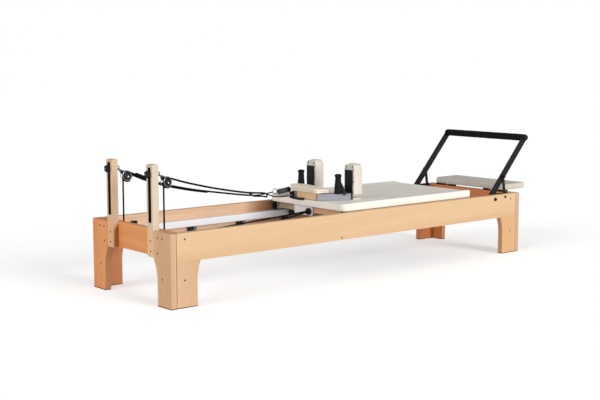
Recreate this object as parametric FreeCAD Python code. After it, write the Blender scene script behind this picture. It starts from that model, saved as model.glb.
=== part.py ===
"""Wooden pilates reformer: a beech frame on four corner legs, a sprung carriage on two tracks,
a folding footbar, a standing platform, and two pulley posts that carry the ropes.

Millimetres. While it is built, X runs from the head end's outer face (0) to the foot end,
Y is the side (minus is the near side, plus is the far side) and Z is up from the floor.
Each node is moved along X as it is saved, so that the origin is the bottom centre of the whole."""
import FreeCAD, Part
import math
import os

V = FreeCAD.Vector
X, Y, Z = V(1, 0, 0), V(0, 1, 0), V(0, 0, 1)

# ---- frame: overall sizes ---------------------------------------------------------------
frame_length = 2370.0
frame_width = 673.0
frame_height = 338.0
board = 30.0                 # thickness of every beech board
rail_height = 131.0
beam_height = 122.0
edge_round = 1.5             # eased edges of the boards
foot_pad = 3.0               # rubber pad under each leg board
leg_end_foot = 109.0         # width of an end board at the floor
leg_side_top = 131.0         # length of a side board under the rail
leg_side_foot = 112.0
leg_curve = 87.0             # height over which a leg's inner edge curves in

# ---- pulley posts -----------------------------------------------------------------------
post_inset = 162.5           # from the frame's side to a post's middle
post_width = 50.0
post_depth = 33.0
post_rise = 294.0            # above the rails
slot_width = 24.0
slot_depth = 10.0
slot_rise = 33.0             # slot's low end above the rails
slot_head = 13.0             # wood left above the slot
groove_width = 8.2           # the carrier's bolt slides in it
groove_margin = 5.0

# ---- fasteners --------------------------------------------------------------------------
screw_head = 4.5
screw_head_depth = 3.0
screw_shank = 2.5
screw_short = 27.0           # inside one board
screw_long = 45.0            # on into the beam behind

# ---- tracks -----------------------------------------------------------------------------
track_width = 34.0
track_height = 34.0
track_drop = 53.0            # below the rail's top
track_wall = 3.0
track_start = 66.0
track_end_gap = 250.0        # from the track's end to the foot end
bracket_pitch = 310.0
bracket_first = 236.0
bracket_length = 40.0
bracket_height = 29.0
bracket_reach = 28.0

# ---- carriage ---------------------------------------------------------------------------
deck_length = 941.0
deck_end_gap = 123.0         # from the deck to the track's end
deck_side_gap = 3.5
deck_thickness = 36.0
deck_board = 18.0
deck_head_radius = 36.0
deck_foot_radius = 16.0
deck_edge_round = 6.0
cover = 5.0                  # foam and cover round the edge of a board
beam_width = 24.0
beam_depth = 36.0
beam_step = 0.1              # from a long beam's face to the guide wheel's middle
wheel_radius = 24.0
wheel_width = 20.0
wheel_play = 0.5             # inside the track's middle
wheel_room = 5.7             # over a wheel, under the deck
head_wheel_inset = 44.0
foot_wheel_inset = 52.0
axle_radius = 6.0
running = 0.05               # radial clearance of a turning part
guide_radius = 22.0
guide_width = 20.0
guide_gap = 0.4
guide_step = 80.0            # from a wheel to the guide wheel beside it
seat_gap = 0.3

# ---- shoulder rests and headrest --------------------------------------------------------
rest_from_deck = 168.5       # from the deck's head edge to a shoulder pad
rest_inner = 114.0
rest_outer = 189.0
rest_depth = 66.0
rest_lift = 20.0
rest_height = 165.0
rest_corner = 24.0
plate_thickness = 6.0
plate_width = 56.0
plate_height = 152.0
sole_reach = 62.0
base_height = 34.0
peg_from_deck = 96.0
peg_offset = 147.0
peg_radius = 14.0
peg_cap_radius = 17.0
peg_height = 136.0
gusset_width = 8.0
gusset_low = 4.0
gusset_high = 24.0
headrest_overhang = 21.0
headrest_length = 102.0
headrest_width = 230.0
headrest_board = 8.0
headrest_pad = 28.0
block_from_deck = 8.0
block_length = 67.0
block_width = 154.0
block_height = 35.0
hinge_leaf = 3.7
hinge_pin = 3.0
hinge_knuckle = 6.0
hinge_back = 3.0             # hinge line behind the headrest's foot edge

# ---- footbar ----------------------------------------------------------------------------
pivot_from_foot = 209.0
pivot_drop = 23.0            # below the rail's top
arm_length = 442.0
arm_angle = 48.2
arm_width = 38.0
arm_thickness = 6.0
tube_radius = 15.0
tube_wall = 2.5
grip_radius = 20.0
pivot_radius = 7.0
anchor_plate = 3.0
anchor_plate_length = 160.0
anchor_plate_height = 47.0
strut_from_foot = 88.0
strut_drop = 2.0
strut_length = 97.8
strut_lean = 99.4            # direction from the foot to the knob
strut_width = 18.0
strut_thickness = 5.0
link_gap = 0.3               # between two flat links that slide on each other
strut_pin = 4.5
pull_knob_radius = 7.0
pull_knob_length = 12.0

# ---- standing platform ------------------------------------------------------------------
platform_inset = 2.0         # from the foot crossbeam's head face
platform_length = 200.0
platform_width = 534.0
platform_thickness = 36.0
platform_board = 12.0
platform_lift = 10.0
platform_radius = 25.0
support_width = 40.0
outer_support_inset = 12.0   # inside the platform's side
inner_support_inset = 112.0
outer_support_gap = 4.0      # short of the frame's end
inner_support_gap = 2.0

# ---- springs ----------------------------------------------------------------------------
spring_count = 5
spring_pitch = 58.0
spring_radius = 13.0
spring_wall = 3.0
spring_bar_from_foot = 86.0
spring_bar_radius = 8.0
hook_bar_inset = 291.0       # from the deck's foot edge
hook_length = 34.0
hook_radius = 2.0

# ---- ropes and pulleys ------------------------------------------------------------------
rope_radius = 4.0
sheave_groove = 20.0
sheave_rim = 25.5
sheave_width = 11.0
groove_play = 0.3            # beside the rope
sheave_x = 99.0
redirect_drop = 98.0         # below the rail's top
riser_hang = 45.0            # below the carrier's bolt
carrier_drop = 44.0          # below the post's top
carrier_bolt = 4.0
cheek = 2.0
cheek_gap = 0.5
pulley_pin = 3.5
knob_radius = 17.0
knob_length = 16.0
knob_boss = 9.0
knob_lobes = 6

# ---- places that follow from the sizes above --------------------------------------------
half = frame_width / 2
rail_inner = half - board
rail_bottom = frame_height - rail_height
post_bottom = frame_height - beam_height
post_centre = half - post_inset
post_inner = post_centre - post_width / 2
post_outer = post_centre + post_width / 2
post_top = frame_height + post_rise
slot_low = frame_height + slot_rise
slot_high = post_top - slot_head
foot_beam = frame_length - 2 * board
track_top = frame_height - track_drop
track_bottom = track_top - track_height
track_end = frame_length - track_end_gap
track_inner = rail_inner - track_width
wheel_z = track_top + wheel_radius + seat_gap
wheel_offset = rail_inner - track_width / 2 - wheel_play
guide_offset = track_inner - guide_radius - guide_gap
guide_bottom = track_bottom + (track_height - guide_width) / 2
beam_offset = guide_offset - beam_step - beam_width / 2
deck_bottom = wheel_z + wheel_radius + wheel_room
deck_top = deck_bottom + deck_thickness
deck_end = track_end - deck_end_gap
deck_start = deck_end - deck_length
deck_width = 2 * (rail_inner - deck_side_gap)
head_wheel_x = deck_start + head_wheel_inset
foot_wheel_x = deck_end - foot_wheel_inset
rest_x = deck_start + rest_from_deck
rest_low = deck_top + rest_lift
rest_high = rest_low + rest_height
plate_top = deck_top + plate_height
peg_x = deck_start + peg_from_deck
peg_top = deck_top + peg_height
headrest_start = deck_start - headrest_overhang
headrest_end = headrest_start + headrest_length
block_start = deck_start + block_from_deck
block_end = block_start + block_length
pivot_x = frame_length - pivot_from_foot
pivot_z = frame_height - pivot_drop
strut_foot_x = frame_length - strut_from_foot
strut_foot_z = frame_height - strut_drop
spring_bar_x = frame_length - spring_bar_from_foot
spring_height = track_bottom + track_height / 2
hook_bar_x = deck_end - hook_bar_inset
platform_start = foot_beam + platform_inset
platform_end = platform_start + platform_length
carrier_z = post_top - carrier_drop
riser_z = carrier_z - riser_hang
redirect_z = frame_height - redirect_drop
rope_reach = sheave_groove + rope_radius
rope_x = sheave_x - rope_reach
block_top = deck_top + block_height
board_low = block_top + hinge_leaf + seat_gap
hinge_x = headrest_end + hinge_back
hinge_z = board_low
platform_low = frame_height + platform_lift
saved = []


# ---- shapes -----------------------------------------------------------------------------
def box(x0, x1, y0, y1, z0, z1):
    """A block between two corners."""
    return Part.makeBox(x1 - x0, y1 - y0, z1 - z0, V(x0, y0, z0))


def rod(start, along, radius, length):
    """A round rod from a point, along a direction."""
    return Part.makeCylinder(radius, length, start, along)


def ring(start, along, outer, inner, length):
    """A round tube from a point, along a direction."""
    return rod(start, along, outer, length).cut(rod(start, along, inner, length))


def eased(shape, radius=edge_round):
    """The shape with every edge rounded a little."""
    return shape.makeFillet(radius, shape.Edges)


def mirrored(shape):
    """The same piece on the other side of the frame."""
    return shape.mirror(V(0, 0, 0), Y)


def pair(shape):
    """A near-side piece and its far-side twin."""
    return [shape, mirrored(shape)]


def turned(shape, centre, axis, degrees):
    """A copy turned about a line."""
    copy = shape.copy()
    copy.rotate(centre, axis, degrees)
    return copy


def prism(points, along):
    """A flat outline carried along a vector."""
    wire = Part.makePolygon(points + [points[0]])
    return Part.Face(wire).extrude(along)


def rounded_outline(x0, x1, y0, y1, z, radii):
    """A rectangle at height z whose corners have the radii of its low-x and high-x ends."""
    head, foot = radii
    corners = [(x0, y0, head, 180), (x1, y0, foot, 270), (x1, y1, foot, 0), (x0, y1, head, 90)]
    edges = []
    ends = []
    for cx, cy, r, start in corners:
        mx = cx + (r if cx == x0 else -r)
        my = cy + (r if cy == y0 else -r)
        arc = Part.ArcOfCircle(Part.Circle(V(mx, my, z), Z, r), math.radians(start),
                               math.radians(start + 90))
        ends.append((arc.StartPoint, arc.EndPoint))
        edges.append(arc.toShape())
    for i in range(4):
        edges.append(Part.LineSegment(ends[i][1], ends[(i + 1) % 4][0]).toShape())
    return Part.Wire(Part.__sortEdges__(edges))


def rounded_slab(x0, x1, y0, y1, z0, z1, head, foot):
    """A level slab with rounded corners in plan."""
    wire = rounded_outline(x0, x1, y0, y1, z0, (head, foot))
    return Part.Face(wire).extrude(V(0, 0, z1 - z0))


def edges_at(shape, height):
    """The edges that lie wholly at one height."""
    return [e for e in shape.Edges
            if abs(e.BoundBox.ZMin - height) < 1e-4 and abs(e.BoundBox.ZMax - height) < 1e-4]


def upholstered(x0, x1, y0, y1, low, high, head, foot, board_height):
    """A padded cover over a board: the cover wraps the board's edge, and the board fills it."""
    cushion = rounded_slab(x0, x1, y0, y1, low, high, head, foot)
    cushion = cushion.makeFillet(deck_edge_round, edges_at(cushion, high))
    inset = rounded_slab(x0 + cover, x1 - cover, y0 + cover, y1 - cover, low,
                         low + board_height, head - cover, foot - cover)
    return cushion.cut(inset), inset


def leg_board(top, foot, high, curved_from):
    """Outline of a leg board as (width, height) edges: its inner edge runs straight down from the
    top, curves in on one arc that ends plumb, and goes straight down to the pad."""
    low = curved_from - leg_curve
    reach = top - foot
    radius = (reach ** 2 + leg_curve ** 2) / (2 * reach)
    half_turn = math.asin(leg_curve / radius) / 2
    middle = (foot + radius * (1 - math.cos(half_turn)), low + radius * math.sin(half_turn))
    return [(0, foot_pad), (foot, foot_pad), (foot, low)], middle, [(top, curved_from),
                                                                 (top, high), (0, high)]


def leg_shape(top, foot, high, curved_from, place, thickness):
    """A leg board cut from its outline. place turns (width, height) into a point in space."""
    before, middle, after = leg_board(top, foot, high, curved_from)
    corners = [place(*p) for p in before]
    ends = [place(*p) for p in after]
    edges = [Part.LineSegment(a, b).toShape() for a, b in zip(corners, corners[1:])]
    edges.append(Part.Arc(corners[-1], place(*middle), ends[0]).toShape())
    closing = ends + [corners[0]]
    edges += [Part.LineSegment(a, b).toShape() for a, b in zip(closing, closing[1:])
              if (b - a).Length > 1e-6]
    return eased(Part.Face(Part.Wire(edges)).extrude(thickness))


def save(name, solids):
    """Keeps a node: one solid or a group of separate solids."""
    group = solids if isinstance(solids, list) else [solids]
    parts = [s for shape in group for s in shape.Solids]
    saved.append((name, parts))


# ---- fasteners: where they are, the holes they need, and the screws ---------------------
end_screws = [(half - inset, frame_height - drop)
              for inset, drop in ((105.5, 29.5), (67.5, 28.5), (106.5, 98.5), (69.0, 211.0))]
side_screws = [(75.0, frame_height - 29.0), (74.0, frame_height - 213.0)]
post_screws = [frame_height - 49.0, frame_height - 97.0]
middle_screw = (1008.0, rail_bottom + 11.0)


def screw(point, along, length):
    """A countersunk-head screw whose head lies flush at a point and that is driven along."""
    head = rod(point, along, screw_head, screw_head_depth)
    return head.fuse(rod(point, along, screw_shank, length)).removeSplitter()


screws = []
for y, z in end_screws:
    length = screw_long if z > frame_height - beam_height else screw_short
    for side in (-1, 1):
        screws.append(screw(V(0, side * y, z), X, length))
        screws.append(screw(V(frame_length, side * y, z), -X, length))
for x, z in side_screws + [middle_screw]:
    places = [x] if (x, z) == middle_screw else [x, frame_length - x]
    for place in places:
        screws += pair(screw(V(place, -half, z), Y, screw_short))
for z in post_screws:
    screws += pair(screw(V(0, -post_centre, z), X, screw_long))
screw_holes = Part.makeCompound(screws)

# ---- frame: rails, legs, crossbeams -----------------------------------------------------
rail = eased(box(board, frame_length - board, -half, -rail_inner, rail_bottom, frame_height))
pivot_hole = rod(V(pivot_x, -half, pivot_z), Y, pivot_radius, board)
plate_bolt_x = frame_length - 123.7
plate_bolt_z = frame_height - 15.0
plate_bolt_radius = 4.0
plate_hole = rod(V(plate_bolt_x, -half, plate_bolt_z), Y, plate_bolt_radius, board)
spring_bar_hole = rod(V(spring_bar_x, -half + board / 2, spring_height), Y,
                      spring_bar_radius, board / 2)
rail = rail.cut(pivot_hole).cut(plate_hole).cut(spring_bar_hole)
save("side_rail_near", rail.cut(screw_holes))
save("side_rail_far", mirrored(rail).cut(screw_holes))

leg_end_top = half - post_outer - 0.5
head_board = leg_shape(leg_end_top, leg_end_foot, frame_height, rail_bottom,
                       lambda w, h: V(0, -half + w, h), V(board, 0, 0))
foot_board = head_board.translated(V(frame_length - board, 0, 0))
save("leg_end_boards", [s.cut(screw_holes) for s in pair(head_board) + pair(foot_board)])

head_side = leg_shape(leg_side_top, leg_side_foot, rail_bottom, rail_bottom,
                      lambda w, h: V(board + w, -half, h), V(0, board, 0))
foot_side = leg_shape(leg_side_top, leg_side_foot, rail_bottom, rail_bottom,
                      lambda w, h: V(frame_length - board - w, -half, h), V(0, board, 0))
save("leg_side_boards", [s.cut(screw_holes) for s in pair(head_side) + pair(foot_side)])

end_pad = box(0, board, -half, -half + leg_end_foot, 0, foot_pad)
side_pad = box(board + 1, board + leg_side_foot, -half, -rail_inner, 0, foot_pad)
far_side_pad = box(frame_length - board - leg_side_foot, frame_length - board - 1, -half,
                   -rail_inner, 0, foot_pad)
pads = pair(end_pad) + pair(end_pad.translated(V(frame_length - board, 0, 0)))
save("foot_pads", pads + pair(side_pad) + pair(far_side_pad))

# ---- pulley posts: let into the head crossbeam, slotted for the pulley carriers ---------
post = eased(box(0, post_depth, -post_outer, -post_inner, post_bottom, post_top))
lining_space = box(0, slot_depth, -post_centre - slot_width / 2, -post_centre + slot_width / 2,
                   slot_low, slot_high)
groove = box(-1, post_depth + 1, -post_centre - groove_width / 2, -post_centre + groove_width / 2,
             slot_low + groove_margin, slot_high - groove_margin)
lining_front = 0.5
lining_rebate = 5.0
lining_mouth = 16.0
lining = box(lining_front, slot_depth, -post_centre - slot_width / 2,
             -post_centre + slot_width / 2, slot_low, slot_high)
mouth = box(0, lining_rebate, -post_centre - lining_mouth / 2, -post_centre + lining_mouth / 2,
            slot_low + groove_margin, slot_high - groove_margin)
post = post.cut(lining_space).cut(groove)
save("pulley_posts", [s.cut(screw_holes) for s in pair(post)])
save("post_slot_linings", pair(lining.cut(groove).cut(mouth)))

post_space = box(0, post_depth, -post_outer, -post_inner, post_bottom - 1, post_top)
beam = eased(box(board, 2 * board, -rail_inner, rail_inner, frame_height - beam_height,
                 frame_height))
head_beam = beam.cut(Part.makeCompound(pair(post_space))).cut(screw_holes)
save("head_crossbeam", head_beam)
save("foot_crossbeam", beam.translated(V(foot_beam - board, 0, 0)).cut(screw_holes))
save("frame_screws", screws)

# ---- tracks, their brackets and the rubber stops ----------------------------------------
track = box(track_start, track_end, -rail_inner, -track_inner, track_bottom, track_top)
hollow = box(track_start, track_end, -rail_inner + track_wall, -track_inner - track_wall,
             track_bottom + track_wall, track_top - track_wall)
save("guide_tracks", pair(track.cut(hollow)))

bracket_count = int((track_end - bracket_first) // bracket_pitch) + 1
brackets = []
for i in range(bracket_count):
    middle = bracket_first + i * bracket_pitch
    body = box(middle - bracket_length / 2, middle + bracket_length / 2, -rail_inner,
               -rail_inner + bracket_reach, track_bottom - bracket_height, track_bottom)
    corner = [e for e in body.Edges if abs(e.BoundBox.YMin + rail_inner - bracket_reach) < 1e-4
              and abs(e.BoundBox.ZMax - track_bottom + bracket_height) < 1e-4]
    brackets += pair(body.makeChamfer(bracket_reach * 0.5, corner))
save("track_brackets", brackets)

stop_length = 24.0
stop_height = 24.0
stop_gap = 0.6
stop_from_start = 125.4      # from the track's head end to the stops there
head_stop = track_start + stop_from_start + stop_length
foot_stop = foot_wheel_x + wheel_radius + stop_gap
stops = []
for start in (head_stop - stop_length, foot_stop):
    block = box(start, start + stop_length, -wheel_offset - wheel_width / 2,
                -wheel_offset + wheel_width / 2, track_top, track_top + stop_height)
    stops += pair(eased(block))
save("track_stops", stops)

# ---- standing platform ------------------------------------------------------------------
platform_half = platform_width / 2
platform_cover, platform_core = upholstered(platform_start, platform_end, -platform_half,
                                            platform_half, platform_low,
                                            platform_low + platform_thickness, platform_radius,
                                            platform_radius, platform_board)
save("platform_pad", platform_cover)
save("platform_board", platform_core)
outer_side = -platform_half + outer_support_inset
inner_side = -platform_half + inner_support_inset
outer_support = box(platform_start, frame_length - outer_support_gap, outer_side,
                    outer_side + support_width, frame_height, platform_low)
inner_support = box(platform_start, foot_beam + board - inner_support_gap, inner_side,
                    inner_side + support_width, frame_height, platform_low)
save("platform_supports", pair(outer_support) + pair(inner_support))

# ---- footbar: anchor plates, arms with the cross tube, grip, struts ---------------------
plate_inner = rail_inner - anchor_plate
strut_outer = plate_inner - link_gap
strut_inner = strut_outer - strut_thickness
arm_outer = strut_inner - link_gap
arm_inner = arm_outer - arm_thickness
plate_start = pivot_x - arm_width / 2
plate_low = pivot_z - arm_width / 2
anchor = box(plate_start, plate_start + anchor_plate_length, -rail_inner, -plate_inner,
             plate_low, plate_low + anchor_plate_height)
anchor = anchor.makeFillet(6.0, [e for e in anchor.Edges
                                 if abs(e.BoundBox.YLength - anchor_plate) < 1e-4])
bolt_head = 10.0
bolt_head_height = 5.0
collar_radius = 11.0
small_head = 7.0
small_head_height = 3.0
pivot_bolt = rod(V(pivot_x, -half - bolt_head_height, pivot_z), Y, bolt_head, bolt_head_height)
pivot_bolt = pivot_bolt.fuse(rod(V(pivot_x, -half, pivot_z), Y, pivot_radius, half - arm_inner))
pivot_bolt = pivot_bolt.fuse(rod(V(pivot_x, -plate_inner, pivot_z), Y, collar_radius,
                                 plate_inner - strut_inner))
plate_bolt = rod(V(plate_bolt_x, -half - small_head_height, plate_bolt_z), Y, small_head,
                 small_head_height)
plate_bolt = plate_bolt.fuse(rod(V(plate_bolt_x, -half, plate_bolt_z), Y, plate_bolt_radius,
                                 board + anchor_plate))
strut_pivot = rod(V(strut_foot_x, -plate_inner - anchor_plate / 2, strut_foot_z), Y, strut_pin,
                  plate_inner - strut_inner + anchor_plate / 2)
anchor = anchor.cut(pivot_bolt).cut(plate_bolt).fuse(strut_pivot)
save("footbar_anchor_plates", pair(anchor.removeSplitter()))
save("footbar_bolts", pair(pivot_bolt.removeSplitter()) + pair(plate_bolt.removeSplitter()))


def flat_link(x, z, length, width, y0, y1, head, tail, angle):
    """A flat bar with round ends, from a pivot, at an angle above +X, between two Y planes."""
    bar = box(x, x + length, y0, y1, z - width / 2, z + width / 2)
    bar = bar.fuse(rod(V(x, y0, z), Y, tail, y1 - y0))
    bar = bar.fuse(rod(V(x + length, y0, z), Y, head, y1 - y0))
    return turned(bar.removeSplitter(), V(x, 0, z), Y, -angle)


arm = flat_link(pivot_x, pivot_z, arm_length, arm_width, -arm_outer, -arm_inner,
                arm_width / 2, arm_width / 2, arm_angle)
arm = arm.cut(rod(V(pivot_x, -half, pivot_z), Y, pivot_radius + running, half))
bar_x = pivot_x + arm_length * math.cos(math.radians(arm_angle))
bar_z = pivot_z + arm_length * math.sin(math.radians(arm_angle))
cap_height = 11.0
cap_radius = 16.0
tube = ring(V(bar_x, -arm_inner, bar_z), Y, tube_radius, tube_radius - tube_wall, 2 * arm_inner)
cap = rod(V(bar_x, -arm_outer - cap_height, bar_z), Y, cap_radius, cap_height)
cap = cap.makeFillet(3.0, [e for e in cap.Edges if e.BoundBox.YMax < -arm_outer - 1])
save("footbar_frame", pair(arm) + [tube])
save("footbar_end_caps", pair(cap))
save("footbar_grip", ring(V(bar_x, -arm_inner + 1, bar_z), Y, grip_radius,
                          tube_radius, 2 * arm_inner - 2))

strut = flat_link(strut_foot_x, strut_foot_z, strut_length, strut_width, -strut_outer,
                  -strut_inner, strut_width / 2, strut_width / 2, strut_lean)
strut = strut.cut(rod(V(strut_foot_x, -half, strut_foot_z), Y, strut_pin + running, half))
knob_x = strut_foot_x + strut_length * math.cos(math.radians(strut_lean))
knob_z = strut_foot_z + strut_length * math.sin(math.radians(strut_lean))
pull_knob = rod(V(knob_x, -strut_outer - pull_knob_length, knob_z), Y, pull_knob_radius,
                pull_knob_length)
save("footbar_struts", pair(strut) + pair(pull_knob))

# ---- carriage: deck, underframe, wheels -------------------------------------------------
deck_half = deck_width / 2
deck_cover, deck_core = upholstered(deck_start, deck_end, -deck_half, deck_half, deck_bottom,
                                    deck_top, deck_head_radius, deck_foot_radius, deck_board)
save("carriage_pad", deck_cover)
save("carriage_board", deck_core)

beam_top = deck_bottom
beam_low = deck_bottom - beam_depth
long_start = deck_start + 30
long_end = deck_end - 20
cross_x = [long_start, hook_bar_x - beam_width / 2, long_end - beam_width]
long_beam = box(long_start, long_end, -beam_offset - beam_width / 2,
                -beam_offset + beam_width / 2, beam_low, beam_top)
cross_reach = beam_offset - beam_width / 2
under = pair(long_beam)
for x in cross_x:
    under.append(box(x, x + beam_width, -cross_reach, cross_reach, beam_low, beam_top))
save("carriage_frame", under)

hanger_offset = spring_pitch * spring_count / 2
hanger_width = 16.0
hanger_thickness = 6.0
hook_bar = rod(V(hook_bar_x, -hanger_offset, spring_height), Y, spring_bar_radius,
               2 * hanger_offset)
for side in (-1, 1):
    hanger = box(hook_bar_x - hanger_width / 2, hook_bar_x + hanger_width / 2,
                 side * hanger_offset - hanger_thickness / 2,
                 side * hanger_offset + hanger_thickness / 2,
                 spring_height - spring_bar_radius - 2, beam_low)
    hook_bar = hook_bar.fuse(hanger)
save("spring_hook_bar", hook_bar.removeSplitter())

web_inner = beam_offset + beam_width / 2
web_thickness = 6.0
web_outer = web_inner + web_thickness


def wheel_station(x, toward):
    """The steel bracket at one corner: a web on the long beam, the main wheel's axle, and an arm
    that carries the guide wheel's post. toward is +1 or -1 along X."""
    reach = guide_step + 20
    x0 = min(x - toward * 26, x + toward * reach)
    web = box(x0, x0 + 26 + reach, -web_outer, -web_inner, beam_low - 6, beam_top)
    axle = rod(V(x, -web_outer, wheel_z), -Y, axle_radius,
               wheel_offset + wheel_width / 2 - web_outer + 1)
    guide_x = x + toward * guide_step
    shelf = box(guide_x - 14, guide_x + 14, -web_inner, -guide_offset + 12,
                beam_low - 6, beam_low)
    post = rod(V(guide_x, -guide_offset, guide_bottom - 2), Z, axle_radius,
               beam_low - 6 - guide_bottom + 2)
    return web.fuse(axle).fuse(shelf).fuse(post).removeSplitter()


stations = [(head_wheel_x, 1), (foot_wheel_x, -1)]
station_solids = []
for x, toward in stations:
    station_solids += pair(wheel_station(x, toward))
save("wheel_brackets", station_solids)


def main_wheel(x):
    """A grooveless track wheel with a raised hub, turning on its axle."""
    y0 = -wheel_offset - wheel_width / 2
    tyre = eased(rod(V(x, y0, wheel_z), Y, wheel_radius, wheel_width), 2.0)
    dish = ring(V(x, y0, wheel_z), Y, wheel_radius - 6, axle_radius + 5, 3)
    return tyre.cut(dish).cut(rod(V(x, y0, wheel_z), Y, axle_radius + running, wheel_width))


save("head_wheels", pair(main_wheel(head_wheel_x)))
save("foot_wheels", pair(main_wheel(foot_wheel_x)))


def guide_wheel(x, side):
    """A level roller that runs against the track's inner face."""
    place = V(x, side * guide_offset, guide_bottom)
    roller = eased(rod(place, Z, guide_radius, guide_width), 1.5)
    return roller.cut(rod(place, Z, axle_radius + running, guide_width))


for (x, toward), end in zip(stations, ("head", "foot")):
    for side, name in ((-1, "near"), (1, "far")):
        save(f"guide_wheel_{end}_{name}", guide_wheel(x + toward * guide_step, side))

# ---- shoulder rests ---------------------------------------------------------------------
block_half = block_width / 2
plate_x = rest_x - plate_thickness - 0.5
base_inner = block_half + 7
base_points = [V(deck_start + 3, -92, deck_top), V(deck_start + 134, -188, deck_top),
               V(plate_x, -174, deck_top), V(plate_x, -base_inner - 28, deck_top),
               V(deck_start + 74, -base_inner, deck_top),
               V(deck_start + 22, -base_inner, deck_top)]
base = prism(base_points, V(0, 0, base_height))
base = base.makeFillet(4.0, [e for e in base.Edges if e.BoundBox.ZLength < 1e-4
                             and e.BoundBox.ZMin > deck_top + 1])
save("shoulder_rest_bases", pair(base))

rest_middle = (rest_inner + rest_outer) / 2
upright = box(plate_x, plate_x + plate_thickness, -rest_middle - plate_width / 2,
              -rest_middle + plate_width / 2, deck_top, plate_top)
sole = box(plate_x + plate_thickness, plate_x + sole_reach, -rest_middle - plate_width / 2,
           -rest_middle + plate_width / 2, deck_top, deck_top + plate_thickness)
base_top = deck_top + base_height
gusset_start = peg_x + peg_radius - 1
gusset_side = -peg_offset - gusset_width / 2
gusset = prism([V(gusset_start, gusset_side, base_top), V(plate_x, gusset_side, base_top),
                V(plate_x, gusset_side, base_top + gusset_low),
                V(gusset_start, gusset_side, base_top + gusset_high)], V(0, gusset_width, 0))
gusset = gusset.cut(rod(V(peg_x, -peg_offset, deck_top), Z, peg_radius, peg_height))
save("shoulder_rest_plates", pair(upright.fuse(sole).fuse(gusset).removeSplitter()))

rest_block = box(rest_x, rest_x + rest_depth, -rest_outer, -rest_inner, rest_low, rest_high)
rest_block = rest_block.makeFillet(rest_corner, [e for e in rest_block.Edges
                                          if e.BoundBox.XLength > rest_depth - 1
                                          and e.BoundBox.ZMin > rest_low + 1])
rest_block = rest_block.makeFillet(8.0, [e for e in rest_block.Edges
                                         if e.BoundBox.XMin > rest_x + rest_depth - 1])
save("shoulder_pads", pair(rest_block))

peg_profile = [V(0, 0, base_top), V(peg_radius, 0, base_top),
               V(peg_radius, 0, base_top + 12), V(peg_radius - 1.5, 0, base_top + 45),
               V(peg_radius, 0, peg_top - 14), V(peg_cap_radius, 0, peg_top - 11),
               V(peg_cap_radius, 0, peg_top - 3), V(peg_cap_radius - 4, 0, peg_top),
               V(0, 0, peg_top)]
peg = Part.Face(Part.makePolygon(peg_profile + [peg_profile[0]])).revolve(V(0, 0, 0), Z, 360)
save("hand_pegs", pair(peg.translated(V(peg_x, -peg_offset, 0))))

# ---- headrest ---------------------------------------------------------------------------
save("headrest_block", eased(box(block_start, block_end, -block_half, block_half, deck_top,
                                 block_top)))
knuckle_spans = [(-62, -52), (-28, 28), (52, 62)]
lug_spans = [(-50, -30), (30, 50)]
leaf = box(block_start + 20, hinge_x, -62, 62, block_top, block_top + hinge_leaf)
lug_room = Part.makeCompound([box(block_end - 2, hinge_x + 20, a - 1, b + 1, block_top - 20,
                                  block_top + 40) for a, b in lug_spans])
hinge = leaf.cut(lug_room)
for a, b in knuckle_spans:
    hinge = hinge.fuse(rod(V(hinge_x, a, hinge_z), Y, hinge_knuckle - 1.5, b - a))
hinge = hinge.fuse(rod(V(hinge_x, -62, hinge_z), Y, hinge_pin, 124))
save("headrest_hinge", hinge.removeSplitter())

head_half = headrest_width / 2
plank = rounded_slab(headrest_start + 6, headrest_end - 4, -head_half + 6, head_half - 6,
                     board_low, board_low + headrest_board, 16, 16)
for a, b in lug_spans:
    plank = plank.fuse(box(headrest_end - 6, hinge_x, a, b, board_low, board_low + headrest_board))
    plank = plank.fuse(rod(V(hinge_x, a, hinge_z), Y, hinge_knuckle, b - a))
plank = plank.cut(rod(V(hinge_x, -62, hinge_z), Y, hinge_pin + running, 124))
save("headrest_board", plank)
pad_low = board_low + headrest_board
head_cushion = rounded_slab(headrest_start, headrest_end, -head_half, head_half, pad_low,
                            pad_low + headrest_pad, 22, 22)
save("headrest_pad", head_cushion.makeFillet(8.0, edges_at(head_cushion, pad_low
                                                           + headrest_pad)))

# ---- ropes: hand-placed routes, and the pulleys turned into the line of each rope ---------
near_strand = [V(203, -141.5, 537), V(308, -109, 512), V(412, -77, 488), V(517, -44, 467),
               V(621, -12, 447), V(726, 20, 428), V(831, 53, 411), V(935, 85, 396),
               V(1038, 116, 389)]
far_strand = [V(199, 178, 525), V(302, 185, 493), V(406, 192, 467), V(511, 199, 445),
              V(616, 206, 427), V(721, 213, 412), V(827, 221, 400), V(931, 231, 394),
              V(1028.2, 241.8, 395)]
strand_points = {"near": near_strand, "far": far_strand}
sides = {"near": -1, "far": 1}
eye_z = beam_low + 6
eye_y = {"near": -15.0, "far": -1.0}
cleat_y = (eye_y["near"] + eye_y["far"]) / 2
cleat_radius = 18.0
cleat_depth = 12.0
anchor_x = deck_start + 20
rope_end_x = anchor_x - cleat_depth


def rope_line(side):
    """The upright line that a side's rope climbs, at floor height."""
    return V(rope_x, sides[side] * post_centre, 0)


def fan(side, toward):
    """How far a pulley is turned about its upright rope to face the place its rope goes to."""
    line = rope_line(side)
    return math.degrees(math.atan2(toward.y - line.y, toward.x - line.x))


def leave(side, centre_z, toward, over):
    """Where the rope leaves a pulley for a place: over it (+1) or under it (-1). Gives the point
    and the middle of the arc that starts at the pulley's side, on its upright line."""
    line = rope_line(side)
    reach = math.hypot(toward.x - line.x, toward.y - line.y)
    across = reach - rope_reach
    rise = toward.z - centre_z
    turn = math.atan2(rise, across) + over * math.acos(rope_reach / math.hypot(across, rise))
    points = []
    for angle in ((turn + over * math.pi) / 2, turn):
        s = rope_reach + rope_reach * math.cos(angle)
        z = centre_z + rope_reach * math.sin(angle)
        out = V(toward.x - line.x, toward.y - line.y, 0) * (s / reach)
        points.append(line + out + V(0, 0, z))
    return points


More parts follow.
